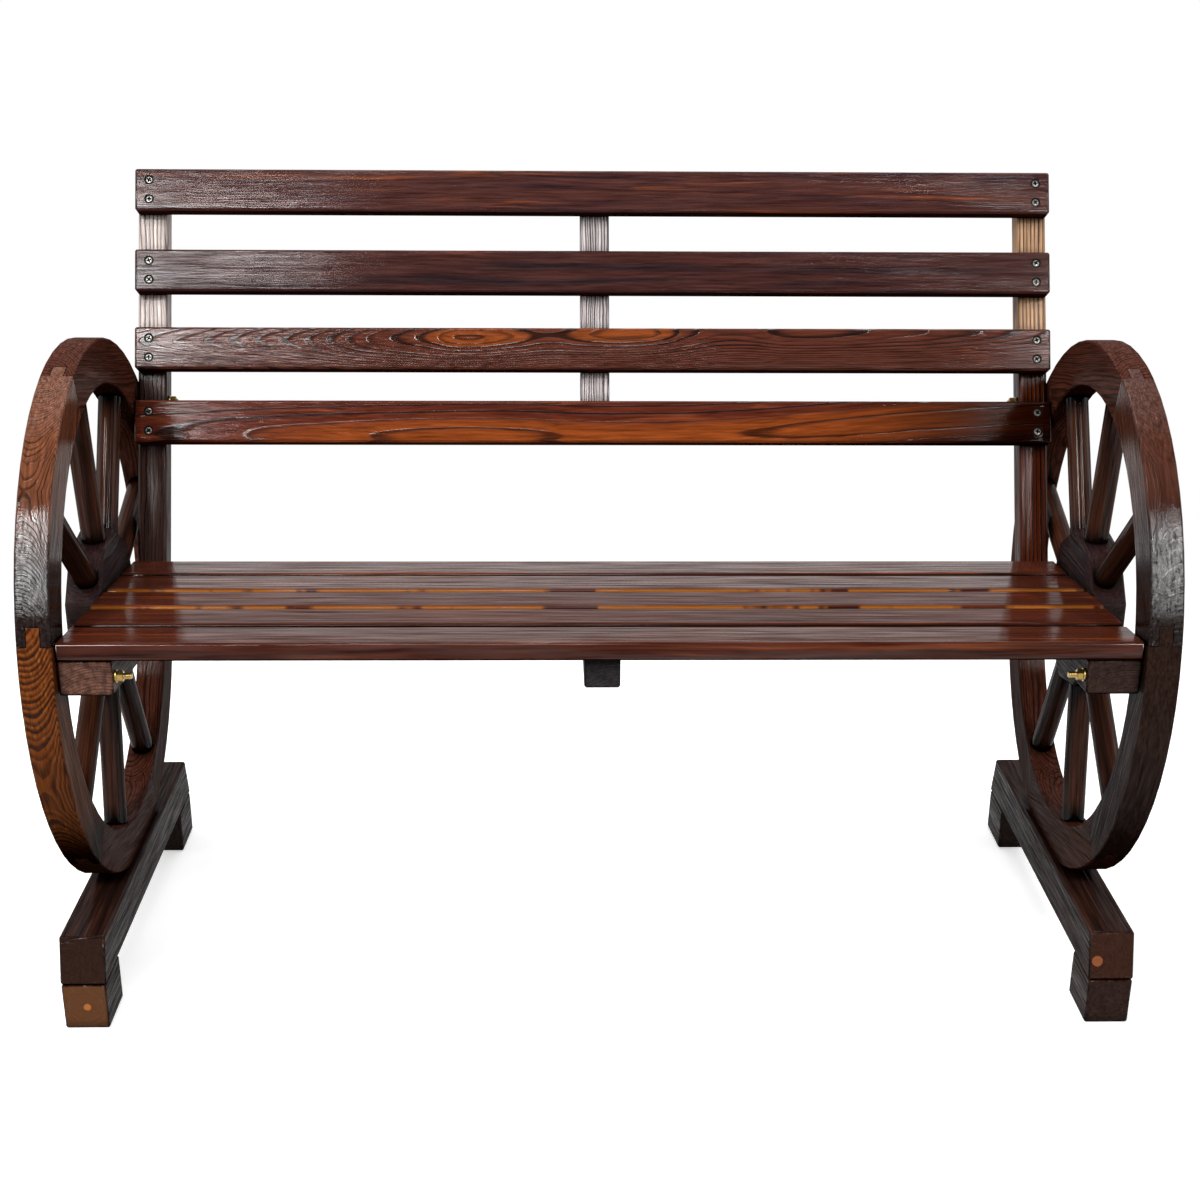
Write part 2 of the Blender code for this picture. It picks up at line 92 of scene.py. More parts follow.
# %% [markdown]
# ## Where the picture is taken from
# The bench is photographed from about a metre above the floor, three steps away, looking a little down, and the
# picture is cropped round it. The crop is a shift of the lens, because a turn would change the perspective.

# %% camera
CAMERA_PLACE = Vector((-0.0419, -1.9897, 1.0287))
CAMERA_YAW = 0.0249
CAMERA_PITCH = -0.4145
CAMERA_ROLL = 0.0071
LENS = 57.22
FILM_WIDTH = 36
LENS_SHIFT = (-0.0022, 0.1586)

look = Vector((math.sin(CAMERA_YAW) * math.cos(CAMERA_PITCH), math.cos(CAMERA_YAW) * math.cos(CAMERA_PITCH),
               math.sin(CAMERA_PITCH)))
level = Vector((math.cos(CAMERA_YAW), -math.sin(CAMERA_YAW), 0))
above = level.cross(look)
right = math.cos(CAMERA_ROLL) * level + math.sin(CAMERA_ROLL) * above
upward = math.cos(CAMERA_ROLL) * above - math.sin(CAMERA_ROLL) * level
turn = Matrix((right, upward, -look)).transposed()
camera = bpy.data.objects.new("camera", bpy.data.cameras.new("camera"))
camera.data.lens = LENS
camera.data.sensor_width = FILM_WIDTH
camera.data.shift_x, camera.data.shift_y = LENS_SHIFT
camera.matrix_world = Matrix.Translation(CAMERA_PLACE) @ turn.to_4x4()
scene.collection.objects.link(camera)
scene.camera = camera
print("camera height in mm:", round(CAMERA_PLACE.z / MM))


# %% [markdown]
# ## Three helpers for finishes
# Stain and metal colours are written as they look on a screen, so they are turned to light values once.
# Every finish is a small tree of nodes. One function clears the tree and one adds a node with its settings and links.

# %% colours and nodes
def colour(text):
    """A screen colour such as 6a4741 as linear light."""
    parts = [int(text[at:at + 2], 16) / 255 for at in (0, 2, 4)]
    return [part / 12.92 if part <= 0.04045 else ((part + 0.055) / 1.055) ** 2.4 for part in parts] + [1]


def emptied(owner):
    """The node tree of a material or world, with nothing in it yet."""
    owner.use_nodes = True
    owner.node_tree.nodes.clear()
    return owner.node_tree


def put(tree, kind, links=None, **settings):
    """Add a node: settings are its properties, links its inputs as values or as outputs of other nodes."""
    made = tree.nodes.new(kind)
    for name, value in settings.items():
        setattr(made, name, value)
    for socket, value in (links or {}).items():
        if isinstance(value, bpy.types.NodeSocket):
            tree.links.new(value, made.inputs[socket])
        else:
            made.inputs[socket].default_value = value
    return made


print("a red-brown in light values:", [round(part, 3) for part in colour("5a3228")])


# %% [markdown]
# ## The figure of stained fir
# Fir grows a pale soft ring each spring and a thin dark hard ring each summer. A saw cuts these tubes
# lengthwise, so a board shows straight lines where it cuts them steeply and flames or ovals where it only
# grazes them. The figure is therefore drawn as rings round a pith that wanders along the grain. Rings near
# the pith are wide and those outside are narrow. The wood was scorched and brushed before it was stained, so
# the summer rings are near black and stand proud, and the heart near the pith glows orange.

# %% rings, fibres and stain
LENGTHS = ["Ring", "Tighten", "Wander", "Heart reach"]
SHARES = ["Phase", "Line", "Dark part", "Amber share", "Smoke share", "Bundle"]
COLOURS = ["Spring", "Summer", "Heart", "Amber", "Smoke"]
FIGURE_INPUTS = {"NodeSocketVector": ["Wood", "Path"], "NodeSocketFloat": LENGTHS + SHARES + ["Seed"],
                 "NodeSocketColor": COLOURS}
FIGURE_OUTPUTS = {"NodeSocketColor": ["Colour"], "NodeSocketFloat": ["Height", "Shine"]}
# Length along the grain and width across it in mm, the share of the wander, and a number that parts the patterns.
BENDS = {"swing": (150, 40, 1.0, 0), "ripple": (30, 9, 0.2, 3)}
# Length and width in mm, fineness, and again a number that parts the patterns. Real fibres are finer than these,
# but bundles of this width are what shows from three steps away.
FIBRES = {"fibre": (60, 2.4, 5, 7), "stain": (200, 4.5, 3, 11), "smear": (240, 8, 3, 17)}
CLOUD_ROUGHNESS = 0.6
# Rings differ from year to year, in how dark the summer wood is and in when it begins.
RING_STRENGTH = (0.55, 1.0)
RING_BEGINNING = (1.08, 0.92)
SUMMER_RISE = 0.6
SUMMER_END = (0.93, 1.0)
HEART_CORE = 0.5
# Where the noise counts as amber, as smoke, as bare fibre, and as a polished one.
AMBER_LEVELS = (0.72, 1.0)
SMOKE_LEVELS = (0.68, 1.0)
FIBRE_LEVELS = (0.3, 0.7)
POLISH_LEVELS = (0.34, 0.66)
FIBRE_TONES = (0.5, 1.5)
POLISH = (0.15, 1.0)
CREST_POLISH = (0.6, 1.0)
RING_HEIGHT = 0.8
FIBRE_HEIGHT = 0.6


def fir_figure():
    tree = bpy.data.node_groups.new("fir figure", "ShaderNodeTree")
    for way, sockets in (("INPUT", FIGURE_INPUTS), ("OUTPUT", FIGURE_OUTPUTS)):
        for kind, names in sockets.items():
            for name in names:
                tree.interface.new_socket(name, in_out=way, socket_type=kind)
    given = put(tree, "NodeGroupInput").outputs

    bent = put(tree, "ShaderNodeVectorMath", {0: given["Wood"], 1: given["Path"]}, operation="ADD").outputs[0]
    for length, width, share, shift in BENDS.values():
        scale = (1 / (length * MM), 1 / (width * MM), 1 / (width * MM))
        scaled = put(tree, "ShaderNodeVectorMath", {0: given["Wood"], 1: scale}, operation="MULTIPLY")
        place = put(tree, "ShaderNodeMath", {0: given["Seed"], 1: shift}, operation="ADD")
        noise = put(tree, "ShaderNodeTexNoise", {"Vector": scaled.outputs[0], "W": place.outputs[0], "Scale": 1.0,
                                                 "Detail": 1.0}, noise_dimensions="4D")
        level = put(tree, "ShaderNodeVectorMath", {0: noise.outputs[1], 1: (0.5, 0.5, 0.5)}, operation="SUBTRACT")
        depth = put(tree, "ShaderNodeMath", {0: given["Wander"], 1: share}, operation="MULTIPLY")
        move = put(tree, "ShaderNodeVectorMath", {0: level.outputs[0], "Scale": depth.outputs[0]}, operation="SCALE")
        bent = put(tree, "ShaderNodeVectorMath", {0: bent, 1: move.outputs[0]}, operation="ADD").outputs[0]
    clouds = {}
    for name, (length, width, detail, shift) in FIBRES.items():
        scale = (1 / (length * MM), 1 / (width * MM), 1 / (width * MM))
        scaled = put(tree, "ShaderNodeVectorMath", {0: bent, 1: scale}, operation="MULTIPLY")
        scaled = put(tree, "ShaderNodeVectorMath", {0: scaled.outputs[0], 1: given["Bundle"]}, operation="DIVIDE")
        place = put(tree, "ShaderNodeMath", {0: given["Seed"], 1: shift}, operation="ADD")
        clouds[name] = put(tree, "ShaderNodeTexNoise", {
            "Vector": scaled.outputs[0], "W": place.outputs[0], "Scale": 1.0, "Detail": detail,
            "Roughness": CLOUD_ROUGHNESS}, noise_dimensions="4D").outputs[0]

    flat = put(tree, "ShaderNodeVectorMath", {0: bent, 1: (0, 1, 1)}, operation="MULTIPLY")
    radius = put(tree, "ShaderNodeVectorMath", {0: flat.outputs[0]}, operation="LENGTH").outputs["Value"]
    rings = put(tree, "ShaderNodeMath", {0: radius, 1: given["Ring"]}, operation="DIVIDE")
    narrow = put(tree, "ShaderNodeMath", {0: radius, 1: given["Tighten"]}, operation="DIVIDE")
    years = put(tree, "ShaderNodeMath", {0: rings.outputs[0], 1: narrow.outputs[0], 2: rings.outputs[0]},
                operation="MULTIPLY_ADD")
    years = put(tree, "ShaderNodeMath", {0: years.outputs[0], 1: given["Phase"]}, operation="ADD")
    year = put(tree, "ShaderNodeMath", {0: years.outputs[0]}, operation="FLOOR")
    season = put(tree, "ShaderNodeMath", {0: years.outputs[0]}, operation="FRACT")
    chance = put(tree, "ShaderNodeTexWhiteNoise", {"W": year.outputs[0]}, noise_dimensions="1D")
    strong = put(tree, "ShaderNodeMapRange", {0: chance.outputs[0], 3: RING_STRENGTH[0], 4: RING_STRENGTH[1]})
    uneven = put(tree, "ShaderNodeMapRange", {0: chance.outputs[0], 3: RING_BEGINNING[0], 4: RING_BEGINNING[1]})
    onset = put(tree, "ShaderNodeMath", {0: uneven.outputs[0], 1: given["Dark part"]}, operation="SUBTRACT")
    full = put(tree, "ShaderNodeMath", {0: given["Dark part"], 1: SUMMER_RISE, 2: onset.outputs[0]},
               operation="MULTIPLY_ADD")
    summer = put(tree, "ShaderNodeMapRange", {0: season.outputs[0], 1: onset.outputs[0], 2: full.outputs[0]},
                 interpolation_type="SMOOTHSTEP")
    ending = put(tree, "ShaderNodeMapRange", {0: season.outputs[0], 1: SUMMER_END[0], 2: SUMMER_END[1], 3: 1.0,
                                              4: 0.0}, interpolation_type="SMOOTHSTEP")
    summer = put(tree, "ShaderNodeMath", {0: summer.outputs[0], 1: ending.outputs[0]}, operation="MULTIPLY")
    summer = put(tree, "ShaderNodeMath", {0: summer.outputs[0], 1: strong.outputs[0]}, operation="MULTIPLY")
    line = put(tree, "ShaderNodeMath", {0: summer.outputs[0], 1: given["Line"]}, operation="MULTIPLY")

    inner = put(tree, "ShaderNodeMath", {0: given["Heart reach"], 1: HEART_CORE}, operation="MULTIPLY")
    heart = put(tree, "ShaderNodeMapRange", {0: radius, 1: inner.outputs[0], 2: given["Heart reach"], 3: 1.0,
                                             4: 0.0}, interpolation_type="SMOOTHSTEP")
    glow = put(tree, "ShaderNodeMath", {0: given["Amber share"], 1: clouds["stain"]}, operation="ADD")
    glow = put(tree, "ShaderNodeMapRange", {0: glow.outputs[0], 1: AMBER_LEVELS[0], 2: AMBER_LEVELS[1]},
               interpolation_type="SMOOTHSTEP")
    soot = put(tree, "ShaderNodeMath", {0: given["Smoke share"], 1: clouds["smear"]}, operation="ADD")
    soot = put(tree, "ShaderNodeMapRange", {0: soot.outputs[0], 1: SMOKE_LEVELS[0], 2: SMOKE_LEVELS[1]},
               interpolation_type="SMOOTHSTEP")
    grey = put(tree, "ShaderNodeMapRange", {0: clouds["fibre"], 1: FIBRE_LEVELS[0], 2: FIBRE_LEVELS[1],
                                            3: FIBRE_TONES[0], 4: FIBRE_TONES[1]})

    tint = put(tree, "ShaderNodeMix", {0: glow.outputs[0], 6: given["Spring"], 7: given["Amber"]}, data_type="RGBA")
    tint = put(tree, "ShaderNodeMix", {0: heart.outputs[0], 6: tint.outputs[2], 7: given["Heart"]}, data_type="RGBA")
    tint = put(tree, "ShaderNodeMix", {0: soot.outputs[0], 6: tint.outputs[2], 7: given["Smoke"]}, data_type="RGBA")
    tint = put(tree, "ShaderNodeMix", {0: line.outputs[0], 6: tint.outputs[2], 7: given["Summer"]}, data_type="RGBA")
    tint = put(tree, "ShaderNodeMix", {0: 1.0, 6: tint.outputs[2], 7: grey.outputs[0]}, data_type="RGBA",
               blend_type="MULTIPLY")
    proud = put(tree, "ShaderNodeMath", {0: summer.outputs[0], 1: RING_HEIGHT}, operation="MULTIPLY")
    height = put(tree, "ShaderNodeMath", {0: clouds["fibre"], 1: FIBRE_HEIGHT, 2: proud.outputs[0]},
                 operation="MULTIPLY_ADD")
    # The hard summer rings stand proud and take the polish, and the soft wood between them stays dull.
    polish = put(tree, "ShaderNodeMapRange", {0: clouds["fibre"], 1: POLISH_LEVELS[0], 2: POLISH_LEVELS[1],
                                              3: POLISH[0], 4: POLISH[1]})
    crest = put(tree, "ShaderNodeMapRange", {0: summer.outputs[0], 3: CREST_POLISH[0], 4: CREST_POLISH[1]})
    shine = put(tree, "ShaderNodeMath", {0: polish.outputs[0], 1: crest.outputs[0]}, operation="MULTIPLY")
    put(tree, "NodeGroupOutput", {"Colour": tint.outputs[2], "Height": height.outputs[0],
                                  "Shine": shine.outputs[0]})
    return tree


figure = fir_figure()
print("steps in the figure of the wood:", len(figure.nodes))


# %% [markdown]
# ## One board, one finish
# No two boards come from the same place in the tree. Each piece gets its own finish: the way its grain runs,
# where the pith lay, how wide the rings are and how much smoke and amber the stain left. A thin glossy oil
# lies over the relief, but not on the undersides, which the brush didn't reach. End grain drinks more stain and
# turns darker. Ambient occlusion darkens the colour in the corners where two pieces meet, as painted shade.

# %% finish of one board
# Lengths are in mm and colours as they look on a screen. path bends the pith, fade darkens one end or both, bare is
# a side where the stain left the wood bare, or that is painted near black as shade, and knot is a round spot.
Board = namedtuple("Board", "ring tighten phase wander line dark_part spring summer heart heart_reach amber "
                            "amber_share smoke smoke_share bundle relief grit rough coat coat_rough end end_share "
                            "path fade bare knot")
STAINED = Board(ring=9, tighten=30, phase=0.5, wander=9, line=0.7, dark_part=0.4, spring="4a2520", summer="241211",
                heart="8a4a20", heart_reach=0, amber="70391f", amber_share=0.15, smoke="221619", smoke_share=0.2,
                bundle=1, relief=0.15, grit=0.1, rough=0.5, coat=0.6, coat_rough=0.1, end="20130e", end_share=0.7,
                path=None, fade=None, bare=None, knot=None)
PATH_REACH = 50 * MM
BOARD_REACH = 520 * MM
TORN_GRAIN = 1.5 * MM
# How far the painted corner shade reaches, and its levels and tones.
CORNER_SHADE_REACH = 14 * MM
CORNER_SHADE_LEVELS = (0.5, 0.95)
CORNER_SHADE_TONES = (0.2, 1.0)
OPEN_SIDE = (0.6, 0.9)
SPOTS_PER_METRE = 14.0
SPOT_EDGE = 0.05
SAWN_END = (0.75, 0.95)
KNOT_EDGE = 0.8
ROUGH_SPREAD = 0.12
UNDERSIDE = (-0.6, -0.3)
WOOD_IOR = 1.5
OIL_IOR = 1.45


def stained_fir(name, grain, face, pith, seed, board):
    """The finish of one piece: grain and face are directions and pith is a place."""
    material = bpy.data.materials.new(name)
    tree = emptied(material)
    grain = grain.normalized()
    side = face.cross(grain).normalized()
    face = grain.cross(side)
    turn = Matrix((grain, side, face))
    place = put(tree, "ShaderNodeTexCoord")
    wood = put(tree, "ShaderNodeMapping", {"Vector": place.outputs["Object"], "Location": -(turn @ pith),
                                           "Rotation": turn.to_euler()})
    along = put(tree, "ShaderNodeSeparateXYZ", {0: wood.outputs[0]})
    figured = put(tree, "ShaderNodeGroup", node_tree=figure)
    for names, meant in ((LENGTHS, lambda length: length * MM), (SHARES, float), (COLOURS, colour)):
        for socket in names:
            figured.inputs[socket].default_value = meant(getattr(board, socket.lower().replace(" ", "_")))
    figured.inputs["Seed"].default_value = seed
    tree.links.new(wood.outputs[0], figured.inputs["Wood"])
    if board.path:
        share = put(tree, "ShaderNodeMath", {0: along.outputs[0], 1: BOARD_REACH}, operation="DIVIDE").outputs[0]
        spread = put(tree, "ShaderNodeCombineXYZ", {0: share, 1: share, 2: share})
        bends = put(tree, "ShaderNodeVectorCurve", {"Vector": spread.outputs[0]})
        for curve, points in zip(bends.mapping.curves[1:3], board.path):
            curve.points[0].location = points[0]
            curve.points[1].location = points[-1]
            for point in points[1:-1]:
                curve.points.new(*point)
        bends.mapping.update()
        moved = put(tree, "ShaderNodeVectorMath", {0: bends.outputs[0], 1: (0, PATH_REACH, PATH_REACH)},
                    operation="MULTIPLY")
        tree.links.new(moved.outputs[0], figured.inputs["Path"])
    tint = figured.outputs["Colour"]
    if board.fade:
        both_ends, near, far, shade = board.fade
        reach = along.outputs[0]
        if both_ends:
            reach = put(tree, "ShaderNodeMath", {0: reach}, operation="ABSOLUTE").outputs[0]
        dark = put(tree, "ShaderNodeMapRange", {0: reach, 1: near * MM, 2: far * MM},
                   interpolation_type="SMOOTHSTEP")
        tint = put(tree, "ShaderNodeMix", {0: dark.outputs[0], 6: tint, 7: colour(shade)}, data_type="RGBA",
                   blend_type="MULTIPLY").outputs[2]
    # An orange bare colour is wood the stain left bare. A near black one is painted shade.
    if board.bare:
        direction, shade, share = board.bare
        open_side = put(tree, "ShaderNodeVectorMath", {0: place.outputs["Normal"], 1: direction},
                        operation="DOT_PRODUCT")
        open_side = put(tree, "ShaderNodeMapRange", {0: open_side.outputs["Value"], 1: OPEN_SIDE[0], 2: OPEN_SIDE[1]})
        spots = put(tree, "ShaderNodeTexNoise", {"W": along.outputs[0], "Scale": SPOTS_PER_METRE, "Detail": 3.0},
                    noise_dimensions="1D")
        spots = put(tree, "ShaderNodeMapRange", {0: spots.outputs[0], 1: 1.0 - SPOT_EDGE - share, 2: 1.0 - share})
        bare_or_shaded = put(tree, "ShaderNodeMath", {0: open_side.outputs[0], 1: spots.outputs[0]}, operation="MULTIPLY")
        tint = put(tree, "ShaderNodeMix", {0: bare_or_shaded.outputs[0], 6: tint, 7: colour(shade)},
                   data_type="RGBA").outputs[2]
    facing = put(tree, "ShaderNodeVectorMath", {0: place.outputs["Normal"], 1: grain}, operation="DOT_PRODUCT")
    facing = put(tree, "ShaderNodeMath", {0: facing.outputs["Value"]}, operation="ABSOLUTE")
    sawn = put(tree, "ShaderNodeMapRange", {0: facing.outputs[0], 1: SAWN_END[0], 2: SAWN_END[1], 3: 0,
                                            4: board.end_share})
    tint = put(tree, "ShaderNodeMix", {0: sawn.outputs[0], 6: tint, 7: colour(board.end)},
               data_type="RGBA").outputs[2]
    if board.knot:
        spot, radius, shade = board.knot
        away = put(tree, "ShaderNodeVectorMath", {0: place.outputs["Object"], 1: spot}, operation="DISTANCE")
        disc = put(tree, "ShaderNodeMapRange", {0: away.outputs["Value"], 1: radius * MM,
                                                2: (radius - KNOT_EDGE) * MM})
        tint = put(tree, "ShaderNodeMix", {0: disc.outputs[0], 6: tint, 7: colour(shade)},
                   data_type="RGBA").outputs[2]
    # Painted shade: ambient occlusion darkens the colour near other surfaces, in corners and under the slats.
    corner = put(tree, "ShaderNodeAmbientOcclusion", {"Distance": CORNER_SHADE_REACH}, samples=4)
    painted_corner_shade = put(tree, "ShaderNodeMapRange", {0: corner.outputs["AO"], 1: CORNER_SHADE_LEVELS[0], 2: CORNER_SHADE_LEVELS[1],
                                             3: CORNER_SHADE_TONES[0], 4: CORNER_SHADE_TONES[1]})
    tint = put(tree, "ShaderNodeMix", {0: 1.0, 6: tint, 7: painted_corner_shade.outputs[0]}, data_type="RGBA",
               blend_type="MULTIPLY").outputs[2]
    torn = put(tree, "ShaderNodeTexNoise", {"Vector": place.outputs["Object"], "Scale": 1 / TORN_GRAIN,
                                            "Detail": 3.0})
    grit = put(tree, "ShaderNodeMath", {0: sawn.outputs[0], 1: board.grit}, operation="ADD")
    height = put(tree, "ShaderNodeMath", {0: torn.outputs[0], 1: grit.outputs[0], 2: figured.outputs["Height"]},
                 operation="MULTIPLY_ADD")
    relief = put(tree, "ShaderNodeBump", {"Height": height.outputs[0], "Strength": 1.0,
                                          "Distance": board.relief * MM})
    rough = put(tree, "ShaderNodeMapRange", {0: figured.outputs["Shine"], 3: board.rough + ROUGH_SPREAD,
                                             4: board.rough - ROUGH_SPREAD})
    outward = put(tree, "ShaderNodeSeparateXYZ", {0: place.outputs["Normal"]})
    brushed = put(tree, "ShaderNodeMapRange", {0: outward.outputs[2], 1: UNDERSIDE[0], 2: UNDERSIDE[1], 3: 0.0,
                                               4: board.coat})
    oil = put(tree, "ShaderNodeMath", {0: figured.outputs["Shine"], 1: brushed.outputs[0]}, operation="MULTIPLY",
              use_clamp=True)
    # The bare fibres are dull and the oil carries all the gloss.
    skin = put(tree, "ShaderNodeBsdfPrincipled", {
        "Base Color": tint, "Roughness": rough.outputs[0], "IOR": WOOD_IOR, "Specular IOR Level": 0.0,
        "Normal": relief.outputs[0], "Coat Weight": oil.outputs[0], "Coat Roughness": board.coat_rough,
        "Coat IOR": OIL_IOR, "Coat Normal": relief.outputs[0]})
    put(tree, "ShaderNodeOutputMaterial", {"Surface": skin.outputs[0]})
    return material


print("ring width at the pith of most boards in mm:", STAINED.ring)


# %% [markdown]
# ## Eased edges
# The maker breaks every sharp edge with sandpaper, so light catches the edges as thin bright lines. Each solid
# is copied, its triangles are joined to whole faces again and its long edges are rounded. The copy takes the
# solid's place and gets the finish of its own board.

# %% easing and dressing
WELD = 0.01 * MM
SAME_FACE = math.radians(0.5)
SHARP = math.radians(25)
CREASE = math.radians(40)
SHORTEST_EDGE = 8 * MM
EDGE_ON_BOARDS = 0.8
EDGE_ON_WHEELS = 0.6


def eased(node, radius):
    """A copy of a solid with its long edges rounded."""
    bm = bmesh.new()
    bm.from_mesh(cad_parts[node].data)
    bmesh.ops.remove_doubles(bm, verts=bm.verts, dist=WELD)
    bmesh.ops.dissolve_limit(bm, angle_limit=SAME_FACE, verts=bm.verts, edges=bm.edges)
    edges = [edge for edge in bm.edges if len(edge.link_faces) == 2 and edge.calc_face_angle() > SHARP]
    worn = [edge for edge in edges if edge.calc_length() > SHORTEST_EDGE]
    bmesh.ops.bevel(bm, geom=worn, offset=radius * MM, segments=2, profile=0.5, affect="EDGES", clamp_overlap=True)
    for face in bm.faces:
        face.smooth = True
    for edge in bm.edges:
        edge.smooth = len(edge.link_faces) != 2 or edge.calc_face_angle() < CREASE
    mesh = bpy.data.meshes.new(f"{node}_eased")
    bm.to_mesh(mesh)
    bm.free()
    made = bpy.data.objects.new(f"{node}_eased", mesh)
    scene.collection.objects.link(made)
    weigh = made.modifiers.new("even shading", "WEIGHTED_NORMAL")
    weigh.keep_sharp = True
    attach(made, "root")
    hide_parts(node)
    return made


def dress(node, radius, name, grain, face, pith, seed, board):
    eased(node, radius).data.materials.append(stained_fir(name, grain, face, pith, seed, board))


print("edges longer than this are eased, in mm:", SHORTEST_EDGE / MM)


# %% [markdown]
# ## Back slats
# Two plain slats above and two with flames below. The flames come from a pith that nears the face and dips
# away again while it drifts up or down, drawn as two curves along the board: drift first, then depth.

# %% back slats
FLAMES_3 = (
    [(-1, -0.16), (-0.27, -0.24), (0.08, -0.34), (0.5, -0.4), (1, -0.4)],
    [(-1, 0.8), (-0.84, 0.71), (-0.72, 0.61), (-0.59, 0.5), (-0.48, 0.37), (-0.41, 0.28), (-0.345, 0.17),
     (-0.31, 0.07), (-0.275, 0.0), (-0.235, 0.07), (-0.16, 0.19), (-0.1, 0.25), (-0.02, 0.18), (0.076, 0.1),
     (0.154, 0.19), (0.2, 0.28), (0.3, 0.37), (0.44, 0.28), (0.6, 0.32), (0.8, 0.42), (1, 0.55)],
)
FLAMES_4 = (
    [(-1, 0.28), (0.25, 0.28), (0.45, 0.2), (0.74, -0.05), (1, -0.2)],
    [(-1, 0.62), (-0.85, 0.5), (-0.76, 0.42), (-0.62, 0.33), (-0.515, 0.235), (-0.4, 0.14), (-0.28, 0.1),
     (-0.15, 0.15), (-0.05, 0.235), (0.13, 0.28), (0.31, 0.235), (0.45, 0.15), (0.6, 0.08), (1, 0.02)],
)
BACK_LOOKS = {
    1: STAINED._replace(spring="3f211c", coat=0.75, line=0.5, amber="7c3e1e", amber_share=0.2, smoke="1a131c",
                        smoke_share=0.22),
    2: STAINED._replace(spring="3b1f1b", line=0.5, amber="642f20", amber_share=0.14, smoke="1b1418",
                        smoke_share=0.25),
    3: STAINED._replace(ring=7.5, tighten=25, wander=3, line=0.95, dark_part=0.55, spring="4a251b", summer="1c0e0c",
                        heart="723819", heart_reach=15, smoke_share=0.1, relief=0.3, coat=0.95, path=FLAMES_3),
    4: STAINED._replace(ring=13.5, tighten=79, phase=0, wander=4, line=0.95, dark_part=0.3, spring="4a1e13",
                        summer="190b08", heart="743614", heart_reach=25, amber="7c3c1c", amber_share=0.2,
                        smoke_share=0.12, relief=0.3, coat=0.95, path=FLAMES_4, fade=(False, 180, 515, "4a3a36")),
}
BACK_PITHS = {1: (-60, 25), 2: (-70, 30), 3: (0, 0), 4: (0, 0)}
HALF_SLAT = 9.5 * MM
for number, board in BACK_LOOKS.items():
    node = f"back_slat_{number}"
    rise, deep = BACK_PITHS[number]
    pith = middle(node) + BACK_OUT * (HALF_SLAT - deep * MM) + BACK_UP * rise * MM
    dress(node, EDGE_ON_BOARDS, f"stained fir back slat {number}", ACROSS, BACK_OUT, pith,
          2.7 * number, board)
print("back slats:", len(BACK_LOOKS))


# %% [markdown]
# ## Posts and batten
# The two posts behind the slat ends are strongly brushed, so they show dark lines under a gloss, and they
# get darker towards the seat. The pale grey colour of the left post is painted sheen. The batten in the middle is
# left rough from the saw, and its pale grey colour is painted sheen too.

# %% posts and batten
# Painted sheen: the pale grey spring and amber colours of the left post stand in for the gloss of the key light.
POST_LOOK = STAINED._replace(ring=21, tighten=30, wander=13, line=1.0, dark_part=0.38, spring="b2a49e",
                             summer="1c0d0a", amber="d8ac88", amber_share=0.2, smoke_share=0.0, relief=0.3,
                             rough=0.42, coat_rough=0.2)
POST_LOOKS = {
    "left": POST_LOOK._replace(fade=(False, 65, 35, "4e3832")),
    "right": POST_LOOK._replace(wander=4, dark_part=0.5, spring="a07c5c", summer="341709", amber="cc9a68",
                                fade=(False, 65, 35, "6c3c28")),
}
POST_PITH = 55 * MM
BATTEN_PITH = 45 * MM
for index, side in enumerate(SIDES):
    node = f"back_post_{side}"
    pith = middle(node) + ACROSS * POST_PITH * SIDES[side]
    dress(node, EDGE_ON_BOARDS, f"stained fir post {side}", BACK_UP, BACK_OUT, pith, 31 + index,
          POST_LOOKS[side])
# Painted sheen: the batten's pale grey spring colour stands in for a light sheen.
batten_look = POST_LOOK._replace(ring=12, wander=12, dark_part=0.65, spring="b0a6a6", summer="1e1c1e",
                                 amber_share=0, relief=0.6, grit=1.0, rough=0.6)
pith = middle("back_batten") + (ACROSS + BACK_OUT) * BATTEN_PITH
dress("back_batten", EDGE_ON_BOARDS, "sawn fir batten", BACK_UP, BACK_OUT, pith, 37, batten_look)
print("posts and batten: 3")


# %% [markdown]
# ## Seat
# Five slats with straight fine grain on three bearers. The brush left parts of the front edges of two slats bare,
# and the front edges of two others are painted near black as shade.

# %% seat
SEAT_LOOK = STAINED._replace(ring=30, tighten=30, wander=6, line=0.75, spring="401b10", summer="26100a",
                             amber="7a3a14", amber_share=0.2, smoke="24120d", smoke_share=0.2, bundle=2,
                             relief=0.15, coat_rough=0.1)
SEAT_OIL = {1: 1.15, 2: 0.75, 3: 0.8, 4: 1.3, 5: 1.4}
# Painted shade: the near black front edges of slats 2 and 5 stand in for the shade in the gaps. Slats 3 and 4 show
# bare orange wood.
BARE_OR_SHADED_FRONT_EDGES = {2: ("140a07", 0.95), 3: ("9a5a1c", 0.52), 4: ("9a5a1c", 0.54), 5: ("140a07", 0.95)}
for number, oil in SEAT_OIL.items():
    node = f"seat_slat_{number}"
    pith = middle(node) + SEAT_ALONG * (60 + 8 * number) * MM - SEAT_UP * 20 * MM
    look = SEAT_LOOK._replace(coat=oil)
    if number in BARE_OR_SHADED_FRONT_EDGES:
        look = look._replace(bare=(-SEAT_ALONG, *BARE_OR_SHADED_FRONT_EDGES[number]))
    dress(node, EDGE_ON_BOARDS, f"stained fir seat slat {number}", ACROSS, SEAT_UP, pith, 41 + number,
          look)
BEARER_LOOKS = {"left": ("745244", "55392e"), "centre": ("3a363a", "2b2a2c"), "right": ("3a2a23", "2a1f1b")}
for index, (place, (spring, end)) in enumerate(BEARER_LOOKS.items()):
    node = f"seat_bearer_{place}"
    pith = middle(node) - UP * 60 * MM + ACROSS * 15 * MM
    look = STAINED._replace(ring=14, wander=3, spring=spring, end=end, end_share=0.4, line=0.8, smoke_share=0.3,
                            relief=0.4, coat=0.25)
    dress(node, EDGE_ON_BOARDS, f"stained fir bearer {place}", SEAT_ALONG, SEAT_UP, pith, 51 + index,
          look)
print("seat slats: 5, bearers: 3")
